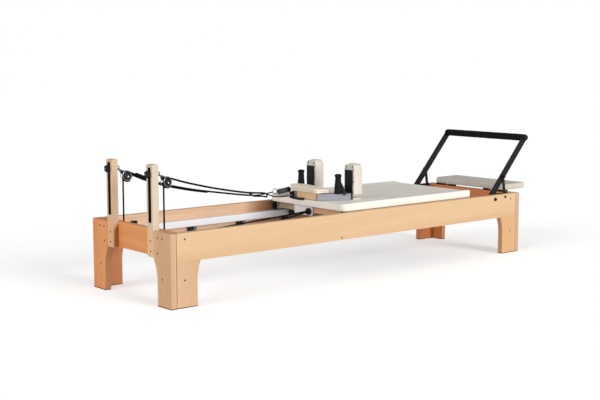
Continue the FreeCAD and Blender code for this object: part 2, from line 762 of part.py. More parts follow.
def tube(edges, first_point, start_direction, length):
    """A round rope along joined edges, compared with its length."""
    section = Part.Wire(Part.Circle(first_point, start_direction, rope_radius).toShape())
    solid = Part.Wire(edges).makePipeShell([section], True, False)
    if solid.Volume < 0:
        solid.reverse()
    ratio = solid.Volume / (math.pi * rope_radius ** 2 * length)
    print(f"rope: length {length:.1f} mm, volume ratio {ratio:.4f}")
    return solid


def rope(points):
    """A slack rope: straight runs joined by tangent arcs, each as large as 0.45 of the shorter
    of its two runs allows."""
    at = points[0]
    edges = []
    length = 0.0
    radii = []
    for a, b, c in zip(points, points[1:], points[2:]):
        back = (a - b).normalize()
        on = (c - b).normalize()
        turn = math.pi - back.getAngle(on)
        radius = 0.45 * min((a - b).Length, (c - b).Length) / math.tan(turn / 2)
        reach = radius * math.tan(turn / 2)
        begin = b + back * reach
        end = b + on * reach
        middle = b + (back + on).normalize() * (math.hypot(radius, reach) - radius)
        edges.append(Part.LineSegment(at, begin).toShape())
        edges.append(Part.Arc(begin, middle, end).toShape())
        length += (begin - at).Length + radius * turn
        radii.append(radius)
        at = end
    edges.append(Part.LineSegment(at, points[-1]).toShape())
    length += (points[-1] - at).Length
    print("rope arcs:", ", ".join(f"{r:.0f}" for r in radii))
    return tube(edges, points[0], points[1] - points[0], length)


def taut_rope(line_start, side, centre_z, toward, over, end=None):
    """A tight rope up or down its upright line, round a pulley and, with an end, on to it."""
    begin = rope_line(side) + V(0, 0, centre_z)
    middle, off = leave(side, centre_z, toward, over)
    edges = [Part.LineSegment(line_start, begin).toShape()] if line_start != begin else []
    arc = Part.Arc(begin, middle, off)
    edges.append(arc.toShape())
    length = (begin - line_start).Length + arc.length()
    if end:
        edges.append(Part.LineSegment(off, end).toShape())
        length += (end - off).Length
    return tube(edges, line_start, V(0, 0, over), length)


lower_runs = []
risers = []
strands = []
for side in sides:
    start = rope_line(side) + V(0, 0, redirect_z)
    eye_at = V(rope_end_x - 1.0, eye_y[side], eye_z)
    lower_runs.append(taut_rope(start, side, redirect_z, eye_at, -1, eye_at))
    points = strand_points[side]
    risers.append(taut_rope(start, side, riser_z, points[0], 1))
    strands.append(rope([leave(side, riser_z, points[0], 1)[1]] + points))
save("rope_lower_runs", lower_runs)
save("rope_risers", risers)
save("rope_free_strands", strands)

# ---- rope anchor under the carriage's head end ------------------------------------------
tongue_low = eye_z - cleat_radius - 3
tongue = box(anchor_x, anchor_x + 4, -34, 112, tongue_low, deck_bottom)
tongue = tongue.makeFillet(14.0, [e for e in tongue.Edges if e.BoundBox.XLength > 3.9
                                  and e.BoundBox.ZMax < tongue_low + 1])
for low, high in ((-30, -10), (80, 100)):
    tongue = tongue.fuse(box(anchor_x + 4, long_start, low, high, beam_low, deck_bottom))
save("rope_anchor", tongue.removeSplitter())
save("rope_cleat", eased(rod(V(rope_end_x, cleat_y, eye_z), X, cleat_radius, cleat_depth), 2.0))

# ---- springs ----------------------------------------------------------------------------
save("spring_bar", rod(V(spring_bar_x, -rail_inner - board / 2, spring_height), Y,
                       spring_bar_radius, 2 * rail_inner + board))
springs = []
coil_start = hook_bar_x + spring_bar_radius + hook_length
coil_end = spring_bar_x - spring_bar_radius - hook_length
for i in range(spring_count):
    y = (i - (spring_count - 1) / 2) * spring_pitch
    coil = ring(V(coil_start, y, spring_height), X, spring_radius, spring_radius - spring_wall,
                coil_end - coil_start)
    for start, length in ((hook_bar_x + spring_bar_radius, hook_length + 2),
                          (coil_end - 2, hook_length + 2)):
        coil = coil.fuse(rod(V(start, y, spring_height), X, hook_radius, length))
    for start in (coil_start, coil_end - 4):
        coil = coil.fuse(rod(V(start, y, spring_height), X, spring_radius - 1, 4))
    springs.append(coil.removeSplitter())
save("springs", springs)

# ---- pulleys ----------------------------------------------------------------------------
# Each pulley is drawn on the line y = 0 with its rope climbing at x = 0, then put in place.
cheek_inner = sheave_width / 2 + cheek_gap
cheek_outer = cheek_inner + cheek


def placed(shape, side, toward):
    """A pulley's piece moved to its rope's upright line and turned to face a place."""
    return turned(shape.translated(rope_line(side)), rope_line(side), Z, fan(side, toward))


def sheave(z):
    """A grooved rope wheel."""
    disc = rod(V(rope_reach, -sheave_width / 2, z), Y, sheave_rim, sheave_width)
    groove_half = rope_radius + groove_play
    groove_ring = ring(V(rope_reach, -groove_half, z), Y, sheave_rim + 1,
                       sheave_groove - seat_gap, 2 * groove_half)
    bore = rod(V(rope_reach, -sheave_width / 2, z), Y, pulley_pin + running, sheave_width)
    return disc.cut(groove_ring).cut(bore)


def axle(z):
    """The pin between a pulley's two cheeks."""
    return rod(V(rope_reach, -cheek_outer - 2, z), Y, pulley_pin, 2 * cheek_outer + 4)


def cheek_planes():
    """The two cheeks' lower and upper Y."""
    return [(-cheek_outer, -cheek_inner), (cheek_inner, cheek_outer)]


housings = []
for side in sides:
    toward = V(rope_end_x, eye_y[side], eye_z)
    line = rope_line(side)
    housing = box(2 * board, 2 * board + 3, line.y - 18, line.y + 18, redirect_z - 20,
                  redirect_z + 26)
    back = -(rope_x - 2 * board - 1.5)
    for low, high in cheek_planes():
        cheek_plate = box(back, rope_reach + 9, low, high, redirect_z - 8, redirect_z + 12)
        housing = housing.fuse(placed(cheek_plate, side, toward))
    housings.append(housing.fuse(placed(axle(redirect_z), side, toward)).removeSplitter())
    save(f"redirect_sheave_{side}", placed(sheave(redirect_z), side, toward))
save("redirect_housings", housings)

# ---- pulley carriers: bolt through the post, eye, ring and riser pulley -------------------
washer_gap = 0.3
washer = 2.0
eye_ring = 9.0
eye_wire = 2.5
link_ring = 9.0
link_wire = 2.2
tab_hole = 5.4
tab_radius = 8.5
tab_thickness = 5.0
link_play = 1.0
bolt_start = -knob_length - 3.0
eye_x = post_depth + washer_gap + washer + 2 + eye_ring
for side in sides:
    y = sides[side] * post_centre
    toward = strand_points[side][0]
    bolt = rod(V(bolt_start, y, carrier_z), X, carrier_bolt, eye_x - eye_ring - bolt_start)
    washer_disc = rod(V(post_depth + washer_gap, y, carrier_z), X, 10.0, washer)
    eye_centre = V(eye_x, y, carrier_z)
    eye = bolt.fuse(washer_disc).fuse(Part.makeTorus(eye_ring, eye_wire, eye_centre, Y))

    first = eye_ring - eye_wire - link_wire - seat_gap
    chain = first + 2 * link_ring - link_wire - link_play + tab_hole
    eye_local = turned(Part.Vertex(eye_centre - rope_line(side)), V(0, 0, 0), Z,
                       -fan(side, toward)).Point
    sheave_centre = V(rope_reach, 0, riser_z)
    up = V(eye_local.x - rope_reach, 0, eye_local.z - riser_z)
    gap = up.Length - math.sqrt(chain ** 2 - eye_local.y ** 2)
    local = sheave_centre + up.normalize() * gap
    tab_centre = placed(Part.Vertex(local), side, toward).Point
    pull = (tab_centre - eye_centre).normalize()
    link = Part.makeTorus(link_ring, link_wire, eye_centre + pull * (first + link_ring),
                          pull.cross(pull.cross(Z)))
    tab = rod(V(local.x, -tab_thickness / 2, local.z), Y, tab_radius, tab_thickness)
    lean = math.degrees(math.atan2(up.z, up.x))
    pulley = axle(riser_z)
    block_from = sheave_rim + 2
    block = box(rope_reach + block_from, rope_reach + gap - tab_radius + 4, -cheek_outer,
                cheek_outer, riser_z - 7, riser_z + 7)
    block = turned(block, sheave_centre, Y, -lean)
    for low, high in cheek_planes():
        plate = flat_link(rope_reach, riser_z, block_from + 2, 14.0, low, high, 7.0, 13.0, lean)
        pulley = pulley.fuse(plate)
    hole = rod(V(local.x, -tab_thickness, local.z), Y, tab_hole, 2 * tab_thickness)
    pulley = pulley.fuse(block).fuse(tab).cut(hole).removeSplitter()
    rope_room = rod(V(0, 0, redirect_z), Z, rope_radius + 1, riser_z - redirect_z)
    arc_room = ring(V(rope_reach, -rope_radius - 1, riser_z), Y, rope_reach + rope_radius + 1,
                    sheave_groove, 2 * rope_radius + 2)
    pulley = pulley.cut(rope_room).cut(arc_room.cut(axle(riser_z)))
    save(f"pulley_carrier_{side}", [eye.removeSplitter(), link, placed(pulley, side, toward)])
    save(f"riser_sheave_{side}", placed(sheave(riser_z), side, toward))

    knob_start = -knob_length - 0.4
    knob = rod(V(knob_start, y, carrier_z), X, knob_radius, knob_length - 5)
    for i in range(knob_lobes):
        angle = math.radians(i * 360 / knob_lobes)
        lobe = V(0, math.cos(angle), math.sin(angle)) * (knob_radius + 3)
        knob = knob.cut(rod(V(knob_start, y, carrier_z) + lobe, X, 6.0, knob_length))
    knob = knob.fuse(rod(V(knob_start, y, carrier_z), X, knob_boss, knob_length))
    bore = rod(V(knob_start - 5, y, carrier_z), X, carrier_bolt + running, knob_length + 9)
    save(f"post_knob_{side}", knob.cut(bore).removeSplitter())

# ---- hand loops, laid over the carriage's head end --------------------------------------
handle_radius = 13.5
strap_thickness = 5.0
strap_width = 16.0


def bar_between(start, end, radius):
    """A round bar from one point to another, with eased ends."""
    along = end - start
    return eased(rod(start, along, radius, along.Length), 2.0)


lying_height = deck_top + handle_radius + seat_gap
near_handle = bar_between(V(deck_start + 14, 129, lying_height),
                          V(deck_start + 68, 167, lying_height), handle_radius)
near_strap = box(deck_start - seat_gap - strap_thickness, deck_start - seat_gap, 8, 100,
                 deck_top + 6 - strap_width, deck_top + 6)
save("hand_loop_near", [near_handle, eased(near_strap)])
far_handle = bar_between(V(deck_start + 10, 232, lying_height + 2),
                         V(deck_start + 30, 164, lying_height + 20.5), handle_radius)
save("hand_loop_far", far_handle)
ring_radius = 13.0
ring_wire = 2.5
near_ring = Part.makeTorus(ring_radius, ring_wire, V(deck_start - 2.5, 118, deck_top + 11),
                           V(0.3, 0, 1))
far_ring = Part.makeTorus(ring_radius, ring_wire, V(deck_start - 14.5, 231, deck_top + 20),
                          V(0.643, 0.766, 0))
save("d_rings", [near_ring, far_ring])

# ---- save: the origin goes to the bottom centre of everything but the ropes --------------
whole = FreeCAD.BoundBox()
for name, parts in saved:
    if name not in ("rope_lower_runs", "rope_risers", "rope_free_strands"):
        for part in parts:
            whole.add(part.BoundBox)
shift = V(-(whole.XMin + whole.XMax) / 2, -(whole.YMin + whole.YMax) / 2, -whole.ZMin)
os.makedirs("parts", exist_ok=True)
for name, parts in saved:
    moved = [part.translated(shift) for part in parts]
    shape = moved[0] if len(moved) == 1 else Part.makeCompound(moved)
    if not shape.isValid() or any(part.Volume <= 0 for part in moved):
        raise ValueError(f"{name} is not a valid solid")
    shape.exportStep(f"parts/{name}.step")
print(f"{len(saved)} nodes, box {whole.XLength:.1f} x {whole.YLength:.1f} x {whole.ZLength:.1f}, "
      f"shift {shift.x:.2f}")
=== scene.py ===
import bmesh
import bpy
import math
import numpy as np
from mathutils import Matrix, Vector


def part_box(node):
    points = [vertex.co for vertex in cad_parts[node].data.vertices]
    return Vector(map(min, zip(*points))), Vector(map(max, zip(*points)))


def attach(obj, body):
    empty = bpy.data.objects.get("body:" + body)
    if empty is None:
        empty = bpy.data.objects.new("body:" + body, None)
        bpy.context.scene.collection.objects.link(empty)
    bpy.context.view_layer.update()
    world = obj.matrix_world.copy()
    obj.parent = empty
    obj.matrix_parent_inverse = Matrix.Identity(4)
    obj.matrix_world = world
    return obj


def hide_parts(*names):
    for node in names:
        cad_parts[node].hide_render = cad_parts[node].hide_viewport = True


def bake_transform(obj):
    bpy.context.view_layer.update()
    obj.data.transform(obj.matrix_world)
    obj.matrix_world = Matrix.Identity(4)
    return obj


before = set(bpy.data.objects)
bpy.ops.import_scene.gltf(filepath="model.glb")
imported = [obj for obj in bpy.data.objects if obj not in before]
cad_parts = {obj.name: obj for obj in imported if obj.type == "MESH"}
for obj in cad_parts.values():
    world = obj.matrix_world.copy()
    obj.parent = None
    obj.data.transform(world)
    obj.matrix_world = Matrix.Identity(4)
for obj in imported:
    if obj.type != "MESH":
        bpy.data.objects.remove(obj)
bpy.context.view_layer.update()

# ---- The studio -------------------------------------------------------------------------
# A pale floor that runs into a white background. The main light comes low from the near side,
# a weaker one from the head end, and an even white sky fills the rest.
head_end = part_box("leg_end_boards")[0].x          # the head end's outer face


def place(x, y, z):
    """A point given in millimetres from the head end, the middle and the floor, in metres."""
    return Vector((head_end + x / 1000, y / 1000, z / 1000))


def colour(red, green, blue):
    """A paint-chip colour, 0 to 255, as the linear numbers a shader takes."""
    chip = np.array([red, green, blue]) / 255
    linear = np.where(chip <= 0.04045, chip / 12.92, ((chip + 0.055) / 1.055) ** 2.4)
    return (*linear.tolist(), 1.0)


camera_data = bpy.data.cameras.new("studio_camera")
camera = bpy.data.objects.new("studio_camera", camera_data)
bpy.context.scene.collection.objects.link(camera)
camera_data.sensor_width = 36.0
camera_data.lens = 67.573
camera_data.clip_end = 60.0
camera.location = place(-2684.6, -4413.1, 1112.0)
facing = Vector((0.6378, 0.7597, -0.1273))
camera.rotation_mode = "QUATERNION"
camera.rotation_quaternion = facing.to_track_quat("-Z", "Y")
bpy.context.scene.camera = camera
bpy.context.scene.view_settings.view_transform = "Standard"


def soft_sun(name, comes_from, strength, spread):
    """A broad lamp that shines from a direction; spread is its width in degrees."""
    data = bpy.data.lights.new(name, "SUN")
    data.energy = strength
    data.angle = math.radians(spread)
    lamp = bpy.data.objects.new(name, data)
    lamp.rotation_mode = "QUATERNION"
    lamp.rotation_quaternion = (-Vector(comes_from)).to_track_quat("-Z", "Y")
    bpy.context.scene.collection.objects.link(lamp)


soft_sun("near_side_lamp", (0.15, -1.0, 0.26), 2.4, 30)
soft_sun("head_end_lamp", (-1.0, -0.05, 0.24), 1.5, 45)


def add(owner, kind, **values):
    """A node of a kind in a material or a world, with its inputs set by name."""
    node = owner.node_tree.nodes.new("ShaderNode" + kind)
    for key, value in values.items():
        node.inputs[key.replace("_", " ")].default_value = value
    return node


def feed(owner, value, socket):
    """Links an output to an input socket, or sets the input to a fixed value."""
    if isinstance(value, bpy.types.NodeSocket):
        owner.node_tree.links.new(value, socket)
    else:
        socket.default_value = value


def worked(owner, operation, *terms):
    """One step of arithmetic; each term is a socket or a number."""
    step = add(owner, "Math")
    step.operation = operation
    for term, socket in zip(terms, step.inputs):
        feed(owner, term, socket)
    return step.outputs[0]


def ramp(owner, value, start, end, low=0.0, high=1.0):
    """Low at the start and high at the end, in a straight line between them."""
    made = add(owner, "MapRange", From_Min=start, From_Max=end, To_Min=low, To_Max=high)
    feed(owner, value, made.inputs["Value"])
    return made.outputs["Result"]


sky = bpy.data.worlds.new("white_sky")
bpy.context.scene.world = sky
sky.use_nodes = True
sky_light = 0.32
seen = add(sky, "LightPath").outputs
shown = worked(sky, "MAXIMUM", seen["Is Camera Ray"], seen["Is Transmission Ray"])
background = sky.node_tree.nodes["Background"]
background.inputs["Color"].default_value = (1, 1, 1, 1)
feed(sky, ramp(sky, shown, 0.0, 1.0, sky_light, 1.0), background.inputs["Strength"])

floor_mesh = bpy.data.meshes.new("studio_floor")
floor_mesh.from_pydata([(-30, -30, 0), (30, -30, 0), (30, 30, 0), (-30, 30, 0)], [], [(0, 1, 2, 3)])
studio_floor = bpy.data.objects.new("studio_floor", floor_mesh)
bpy.context.scene.collection.objects.link(studio_floor)
floor_paint = bpy.data.materials.new("floor_paint")
floor_paint.use_nodes = True
floor_paint.node_tree.nodes.clear()
floor_light = 0.45
floor_matt = add(floor_paint, "BsdfDiffuse", Color=(0.92, 0.92, 0.92, 1))
floor_glow = add(floor_paint, "Emission")
seen = add(floor_paint, "LightPath").outputs["Is Camera Ray"]
feed(floor_paint, worked(floor_paint, "MULTIPLY", seen, floor_light),
     floor_glow.inputs["Strength"])
floor_sum = add(floor_paint, "AddShader")
feed(floor_paint, floor_matt.outputs[0], floor_sum.inputs[0])
feed(floor_paint, floor_glow.outputs[0], floor_sum.inputs[1])
feed(floor_paint, floor_sum.outputs[0], add(floor_paint, "OutputMaterial").inputs["Surface"])
floor_mesh.materials.append(floor_paint)

# ---- Ropes ------------------------------------------------------------------------------
# One 8 mm braided rope on each side: from the cleat under the carriage to the pulley at the head
# end, up its post, over the hanging pulley, and back down to a hand loop on the carriage.
rope_size = 0.008


def finish_of(name, base, roughness, metallic=0.0):
    """A new material with one shader, its base colour, gloss and metal set, ready for detail."""
    material = bpy.data.materials.new(name)
    material.use_nodes = True
    shader = material.node_tree.nodes["Principled BSDF"]
    shader.inputs["Base Color"].default_value = base
    shader.inputs["Roughness"].default_value = roughness
    shader.inputs["Metallic"].default_value = metallic
    return material, shader


def object_space(material, scale):
    """Object coordinates in metres, stretched by a scale along each axis."""
    mapping = add(material, "Mapping", Scale=scale)
    feed(material, add(material, "TexCoord").outputs["Object"], mapping.inputs["Vector"])
    return mapping.outputs["Vector"]


def piece_space(material, scale):
    """A piece's own surface coordinates: metres round it and metres along it."""
    mapping = add(material, "Mapping", Scale=scale)
    feed(material, add(material, "UVMap").outputs["UV"], mapping.inputs["Vector"])
    return mapping.outputs["Vector"]


def ridges(material, lie_on, direction, distortion=0.0):
    """Waves across a set of coordinates, from 0 in a furrow to 1 on a crest."""
    made = add(material, "TexWave", Scale=1.0, Distortion=distortion)
    made.bands_direction = direction
    feed(material, lie_on, made.inputs["Vector"])
    return made.outputs["Fac"]


def relief(material, shader, height, strength, distance):
    """Turns a height into bumps on the shader."""
    bump = add(material, "Bump", Strength=strength, Distance=distance)
    feed(material, height, bump.inputs["Height"])
    feed(material, bump.outputs["Normal"], shader.inputs["Normal"])


def two_tones(material, shader, factor, dark, light, low=0.0, high=1.0):
    """Base colour that runs from dark to light as a factor goes from low to high."""
    tones = add(material, "ValToRGB")
    for element, position, tone in zip(tones.color_ramp.elements, (low, high), (dark, light)):
        element.position = position
        element.color = tone
    feed(material, factor, tones.inputs["Fac"])
    feed(material, tones.outputs["Color"], shader.inputs["Base Color"])
    return tones.outputs["Color"]


def braided_rope(name, dark, light):
    """Braid: two sets of strands that cross on the rope's own surface, pressed into bumps."""
    material, shader = finish_of(name, dark, 0.9)
    shader.inputs["Specular IOR Level"].default_value = 0.12
    strands = [ridges(material, piece_space(material, (250.0, 165.0 * slant, 1.0)), "DIAGONAL")
               for slant in (1, -1)]
    cross = worked(material, "MULTIPLY", *strands)
    relief(material, shader, cross, 0.8, 0.0006)
    two_tones(material, shader, cross, dark, light)
    return material


black_braid = braided_rope("black_braid", colour(6, 6, 7), colour(27, 27, 29))


def skin(name, grid, material, around=True, ends=True):
    """A mesh from a grid of points, rows by columns. around joins the last column to the first,
    and ends closes the first and last rows with a fan. Its surface coordinates are metres: the
    mean distance round it for a column, and the mean distance along it for a row."""
    grid = np.asarray(grid, float)
    rows, columns = grid.shape[:2]
    index = np.arange(rows * columns).reshape(rows, columns)
    across = np.concatenate([index, index[:, :1]], axis=1) if around else index
    quads = np.stack([across[:-1, :-1], across[:-1, 1:], across[1:, 1:], across[1:, :-1]], axis=-1)
    quads = quads.reshape(-1, 4)
    points = grid.reshape(-1, 3)
    faces = quads.tolist()
    if ends:
        points = np.concatenate([points, grid[:1].mean(axis=1), grid[-1:].mean(axis=1)])
        ring = np.arange(columns)
        nxt = np.roll(ring, -1)
        first, last = rows * columns, rows * columns + 1
        faces += np.stack([ring * 0 + first, nxt, ring], axis=-1).tolist()
        base = (rows - 1) * columns
        faces += np.stack([ring * 0 + last, base + ring, base + nxt], axis=-1).tolist()
    mesh = bpy.data.meshes.new(name)
    mesh.from_pydata(points.tolist(), [], faces)
    looped = np.concatenate([grid, grid[:, :1]], axis=1) if around else grid
    steps = np.linalg.norm(np.diff(looped, axis=1), axis=2).mean(axis=0)
    u = np.concatenate([[0], np.cumsum(steps)])
    rises = np.linalg.norm(np.diff(grid, axis=0), axis=2).mean(axis=1)
    v = np.concatenate([[0], np.cumsum(rises)])
    column = np.arange(across.shape[1] - 1)
    row = np.arange(rows - 1)
    r, c = np.meshgrid(row, column, indexing="ij")
    corners = np.stack([u[c], v[r], u[c + 1], v[r], u[c + 1], v[r + 1], u[c], v[r + 1]], axis=-1)
    flat = corners.reshape(-1)
    spare = len(mesh.loops) * 2 - len(flat)
    layer = mesh.uv_layers.new(name="UVMap")
    layer.data.foreach_set("uv", np.concatenate([flat, np.zeros(spare)]).astype(np.float32))
    corner = points[quads]
    volume = np.einsum("ij,ij->i", corner[:, 0], np.cross(corner[:, 1], corner[:, 2])).sum()
    volume += np.einsum("ij,ij->i", corner[:, 0], np.cross(corner[:, 2], corner[:, 3])).sum()
    if ends and volume < 0:
        mesh.flip_normals()
    mesh.polygons.foreach_set("use_smooth", [True] * len(mesh.polygons))
    mesh.materials.append(material)
    made = bpy.data.objects.new(name, mesh)
    bpy.context.scene.collection.objects.link(made)
    return made


def smooth_route(points):
    """The points along a smooth line that is pulled towards a rope's route: read from a NURBS
    curve of order 3 that has the route's points as its control points."""
    curve = bpy.data.curves.new("route", "CURVE")
    curve.dimensions = "3D"
    curve.resolution_u = 24
    spline = curve.splines.new("NURBS")
    spline.points.add(len(points) - 1)
    for control, point in zip(spline.points, points):
        control.co = (*point, 1.0)
    spline.order_u = 3
    spline.use_endpoint_u = True
    holder = bpy.data.objects.new("route", curve)
    line = bpy.data.meshes.new_from_object(holder)
    found = np.array([v.co for v in line.vertices])
    bpy.data.objects.remove(holder)
    bpy.data.meshes.remove(line)
    return found


def tube_along(path, radius, sides=14, turned_from=(0.0, 1.0, 0.0)):
    """A round skin along a path: at each point a circle stands square to the path, turned from
    an axis of the part. radius may be one value or one for each point."""
    path = np.asarray(path, float)
    ahead = np.gradient(path, axis=0)
    ahead /= np.linalg.norm(ahead, axis=1, keepdims=True)
    out = np.cross(ahead, turned_from)
    out /= np.linalg.norm(out, axis=1, keepdims=True)
    side = np.cross(ahead, out)
    angle = np.linspace(0, 2 * math.pi, sides, endpoint=False)
    size = np.broadcast_to(np.asarray(radius, float), (len(path),))[:, None, None]
    turn = (np.cos(angle)[None, :, None] * out[:, None]
            + np.sin(angle)[None, :, None] * side[:, None])
    return path[:, None] + size * turn


rope_routes = {
    "near": [(203, -141.5, 537), (308, -109, 512), (412, -77, 488), (517, -44, 467),
             (621, -12, 447), (726, 20, 430), (826, 52, 420), (862, 64, 407), (935, 85, 384),
             (1038, 116, 382)],
    "far": [(199, 178, 525), (302, 185, 493), (406, 192, 467), (511, 199, 445), (616, 206, 427),
            (721, 213, 410), (827, 221, 393), (931, 231, 380), (1028.6, 241.2, 390)],
}
cleat_face = {"near": (1063, -15, 309), "far": (1063, -1, 309)}
climb_x = 75.0
climb_y = {"near": -174.0, "far": 174.0}
sheave_reach = 24.0
redirect_height = 240.0
riser_height = 543.0


def round_sheave(side, height, toward, over):
    """Where a rope that climbs at a side's upright line goes round a pulley: points on the
    pulley's arc, from its side to where the line to a place leaves it."""
    line = np.array([climb_x, climb_y[side]])
    run = np.array(toward[:2]) - line
    reach = np.hypot(*run)
    rise = toward[2] - height
    across = reach - sheave_reach
    leaving = math.atan2(rise, across) + over * math.acos(sheave_reach / math.hypot(across, rise))
    angle = np.linspace(over * math.pi, leaving, 18)
    s = sheave_reach + sheave_reach * np.cos(angle)
    z = height + sheave_reach * np.sin(angle)
    flat = line + run * (s / reach)[:, None]
    return np.column_stack([flat, z])


def metres(points):
    """Points in millimetres from the head end, as metres in the part's frame."""
    return np.array([place(*point) for point in points])


def rope_piece(name, path, node, extra=(),
               thin_from=None, swell=1.0):
    """One stretch of rope, a round tube along a path. Past a place along X it thins smoothly to its
    inner core. swell is how much a slack braid opens."""
    radius = np.full(len(path), rope_size * swell / 2)
    if thin_from is not None:
        radius *= 1 - 0.3 * np.clip((path[:, 0] - thin_from) / 0.012, 0, 1)
    piece = skin(name, tube_along(path, radius), black_braid)
    if node:
        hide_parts(node)
    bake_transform(piece)
    return piece


def noise(material, stretch=(1, 1, 1), **values):
    """A cloudy value on Object coordinates, with a scale along each axis."""
    made = add(material, "TexNoise", **{"Scale": 1.0, **values})
    feed(material, object_space(material, stretch), made.inputs["Vector"])
    return made.outputs["Fac"]


def wire_ring(name, line, normal, wire, sides, material):
    """A closed ring of round wire along a flat line: circles stand square to the line, as thick
    as the wire is there, and the last is merged with the first."""
    ahead = np.roll(line, -1, axis=0) - np.roll(line, 1, axis=0)
    ahead /= np.linalg.norm(ahead, axis=1, keepdims=True)
    out = np.cross(ahead, normal)
    turn = np.linspace(0, 2 * math.pi, sides, endpoint=False)
    circle = (np.cos(turn)[None, :, None] * out[:, None]
              + np.sin(turn)[None, :, None] * np.asarray(normal)[None, None])
    thick = np.broadcast_to(np.asarray(wire, float), (len(line),))[:, None, None]
    grid = line[:, None] + thick * circle
    made = skin(name, np.concatenate([grid, grid[:1]]), material, ends=False)
    weld = bmesh.new()
    weld.from_mesh(made.data)
    bmesh.ops.remove_doubles(weld, verts=weld.verts, dist=1e-6)
    bmesh.ops.recalc_face_normals(weld, faces=weld.faces)
    weld.to_mesh(made.data)
    weld.free()
    return made


steel_ring, ring_shader = finish_of("steel_ring", colour(196, 198, 202), 0.22, 1.0)
relief(steel_ring, ring_shader, noise(steel_ring, Scale=500.0), 0.08, 0.0002)
ring_centre = {"near": (1053.5, 118, 386), "far": (1041.5, 231, 395)}
ring_normal = {"near": np.array([0.3, 0.0, 1.0]) / math.hypot(0.3, 1.0),
               "far": np.array([0.643, 0.766, 0.0])}
ring_ahead = {"near": np.array([1.0, 0.0, -0.3]) / math.hypot(0.3, 1.0),
              "far": np.array([0.766, -0.643, 0.0])}
ring_size = 0.013
ring_wire = 0.0025


def d_ring(side):
    """A welded D-ring: a circle whose far third is pressed flat."""
    normal, ahead = ring_normal[side], ring_ahead[side]
    across = np.cross(normal, ahead)
    angle = np.linspace(0, 2 * math.pi, 64, endpoint=False)
    reach = np.minimum(ring_size * np.cos(angle), ring_size * 0.72)
    path = (np.array(place(*ring_centre[side])) + reach[:, None] * ahead
            + (ring_size * np.sin(angle))[:, None] * across)
    made = wire_ring(f"d_ring_{side}", path, normal, ring_wire, 12, steel_ring)
    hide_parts("d_rings")
    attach(made, "carriage")
    return made


fixed_x = {"near": 308, "far": 302}       # up to here a strand is one piece, and past here another
core_x = {"near": 848, "far": 870}        # past here only its thin core goes on
slack_swell = 1.15
for side in ("near", "far"):
    carrier = f"pulley_carrier_{side}"
    under = round_sheave(side, redirect_height, cleat_face[side], -1)
    lower = metres([cleat_face[side], *under[::-1]])
    straight = np.linspace(lower[0], lower[1], 60)
    lower = np.concatenate([straight[:-1], lower[1:]])
    rope_piece(f"lower_rope_{side}", lower,
               "rope_lower_runs")

    first = rope_routes[side][0]
    over = metres(round_sheave(side, riser_height, first, 1))
    foot = np.array(place(climb_x, climb_y[side], redirect_height))
    climb = np.concatenate([np.linspace(foot, over[0], 24)[:-1], over])
    rope_piece(f"rising_rope_{side}", climb,
               "rope_risers")

    line = smooth_route(np.vstack([over[-1], metres(rope_routes[side])]))
    split_x = place(fixed_x[side], 0, 0).x
    upper = line[line[:, 0] <= split_x]
    rest = line[line[:, 0] > split_x]
    rest = np.concatenate([upper[-1:], rest])
    rope_piece(f"free_rope_top_{side}", upper,
               "rope_free_strands", swell=slack_swell)
    rope_piece(f"free_rope_{side}", rest,
               "rope_free_strands", [d_ring(side)], place(core_x[side], 0, 0).x,
               slack_swell)
    stretches = {"top": (upper, carrier, upper[-1], upper[0]),
                 "low": (rest, "carriage", rest[0], rest[-1])}
    if side == "near":         # its end is spliced back into an eye, which hangs below the strand
        eye_from, eye_to, eye_drop = 690, 852, 0.0165
        doubled, body, start, end = stretches["low"]
        share = np.sin(np.linspace(0, math.pi / 2, 60))
        eye_x = place(eye_from, 0, 0).x + share * (eye_to - eye_from) / 1000
        eye = np.column_stack([np.interp(eye_x, doubled[:, 0], doubled[:, k]) for k in range(3)])
        rise = np.clip(share / 0.35, 0, 1)
        round_end = np.sqrt(1 - np.clip((share - 0.95) / 0.05, 0, 1) ** 2)
        eye[:, 2] -= eye_drop * rise ** 2 * (3 - 2 * rise) * round_end
        rope_piece("rope_eye_near", eye, None)
    else:                      # its tail is laid back beside it, under a short sleeve
        tail_from, lash_to = 106, 580
        sleeve_from, sleeve_to, sleeve_girth = 138, 206, 0.0115
        beside = np.array([0, -0.0040, -0.0045])
        sag = np.array([0, 0, -0.0040])
        for part, stretch, from_x, to_x in (("tail", "top", tail_from, fixed_x[side]),
                                            ("lash", "low", fixed_x[side], lash_to)):
            doubled, body, start, end = stretches[stretch]
            x = doubled[:, 0]
            laid = doubled[(x >= place(from_x, 0, 0).x) & (x <= place(to_x, 0, 0).x)]
            slack = np.clip((place(lash_to, 0, 0).x - laid[:, :1]) / 0.4, 0, 1)
            laid = laid + beside + slack * sag
            rope_piece(f"rope_{part}_far", laid,
                       None)
        x = upper[:, 0]
        inside = upper[(x >= place(sleeve_from, 0, 0).x) & (x <= place(sleeve_to, 0, 0).x)]
        share = np.linspace(-1, 1, len(inside))
        girth = (1 - 0.45 * np.abs(share) ** 9) * (1 + 0.02 * np.cos(9 * math.pi * share))
        sleeve = skin("rope_sleeve_far", tube_along(inside, sleeve_girth * girth, 24), black_braid)
        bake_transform(sleeve)

# ---- Beech frame ------------------------------------------------------------------------
# Steamed beech boards, 30 mm thick, planed, eased along their edges and finished with a satin
# lacquer. The grain runs along each board, with short dark flecks in it. Each board's tone is
# tinted by its place and by the way its faces look, and most of these tints are painted shade:
# darker, redder far sides, foot crossbeam and low head-facing post faces, darker sideways
# faces, and painted shadows on the far rail's inner face and on the posts' inward faces.


def mixed(material, kind, share, first, second):
    """Two colours mixed or multiplied in a share; each is a socket or a fixed value."""
    mixer = add(material, "Mix")
    mixer.data_type = "RGBA"
    mixer.blend_type = kind
    for value, name in ((share, "Factor"), (first, "A"), (second, "B")):
        feed(material, value, mixer.inputs[name])
    return mixer.outputs["Result"]


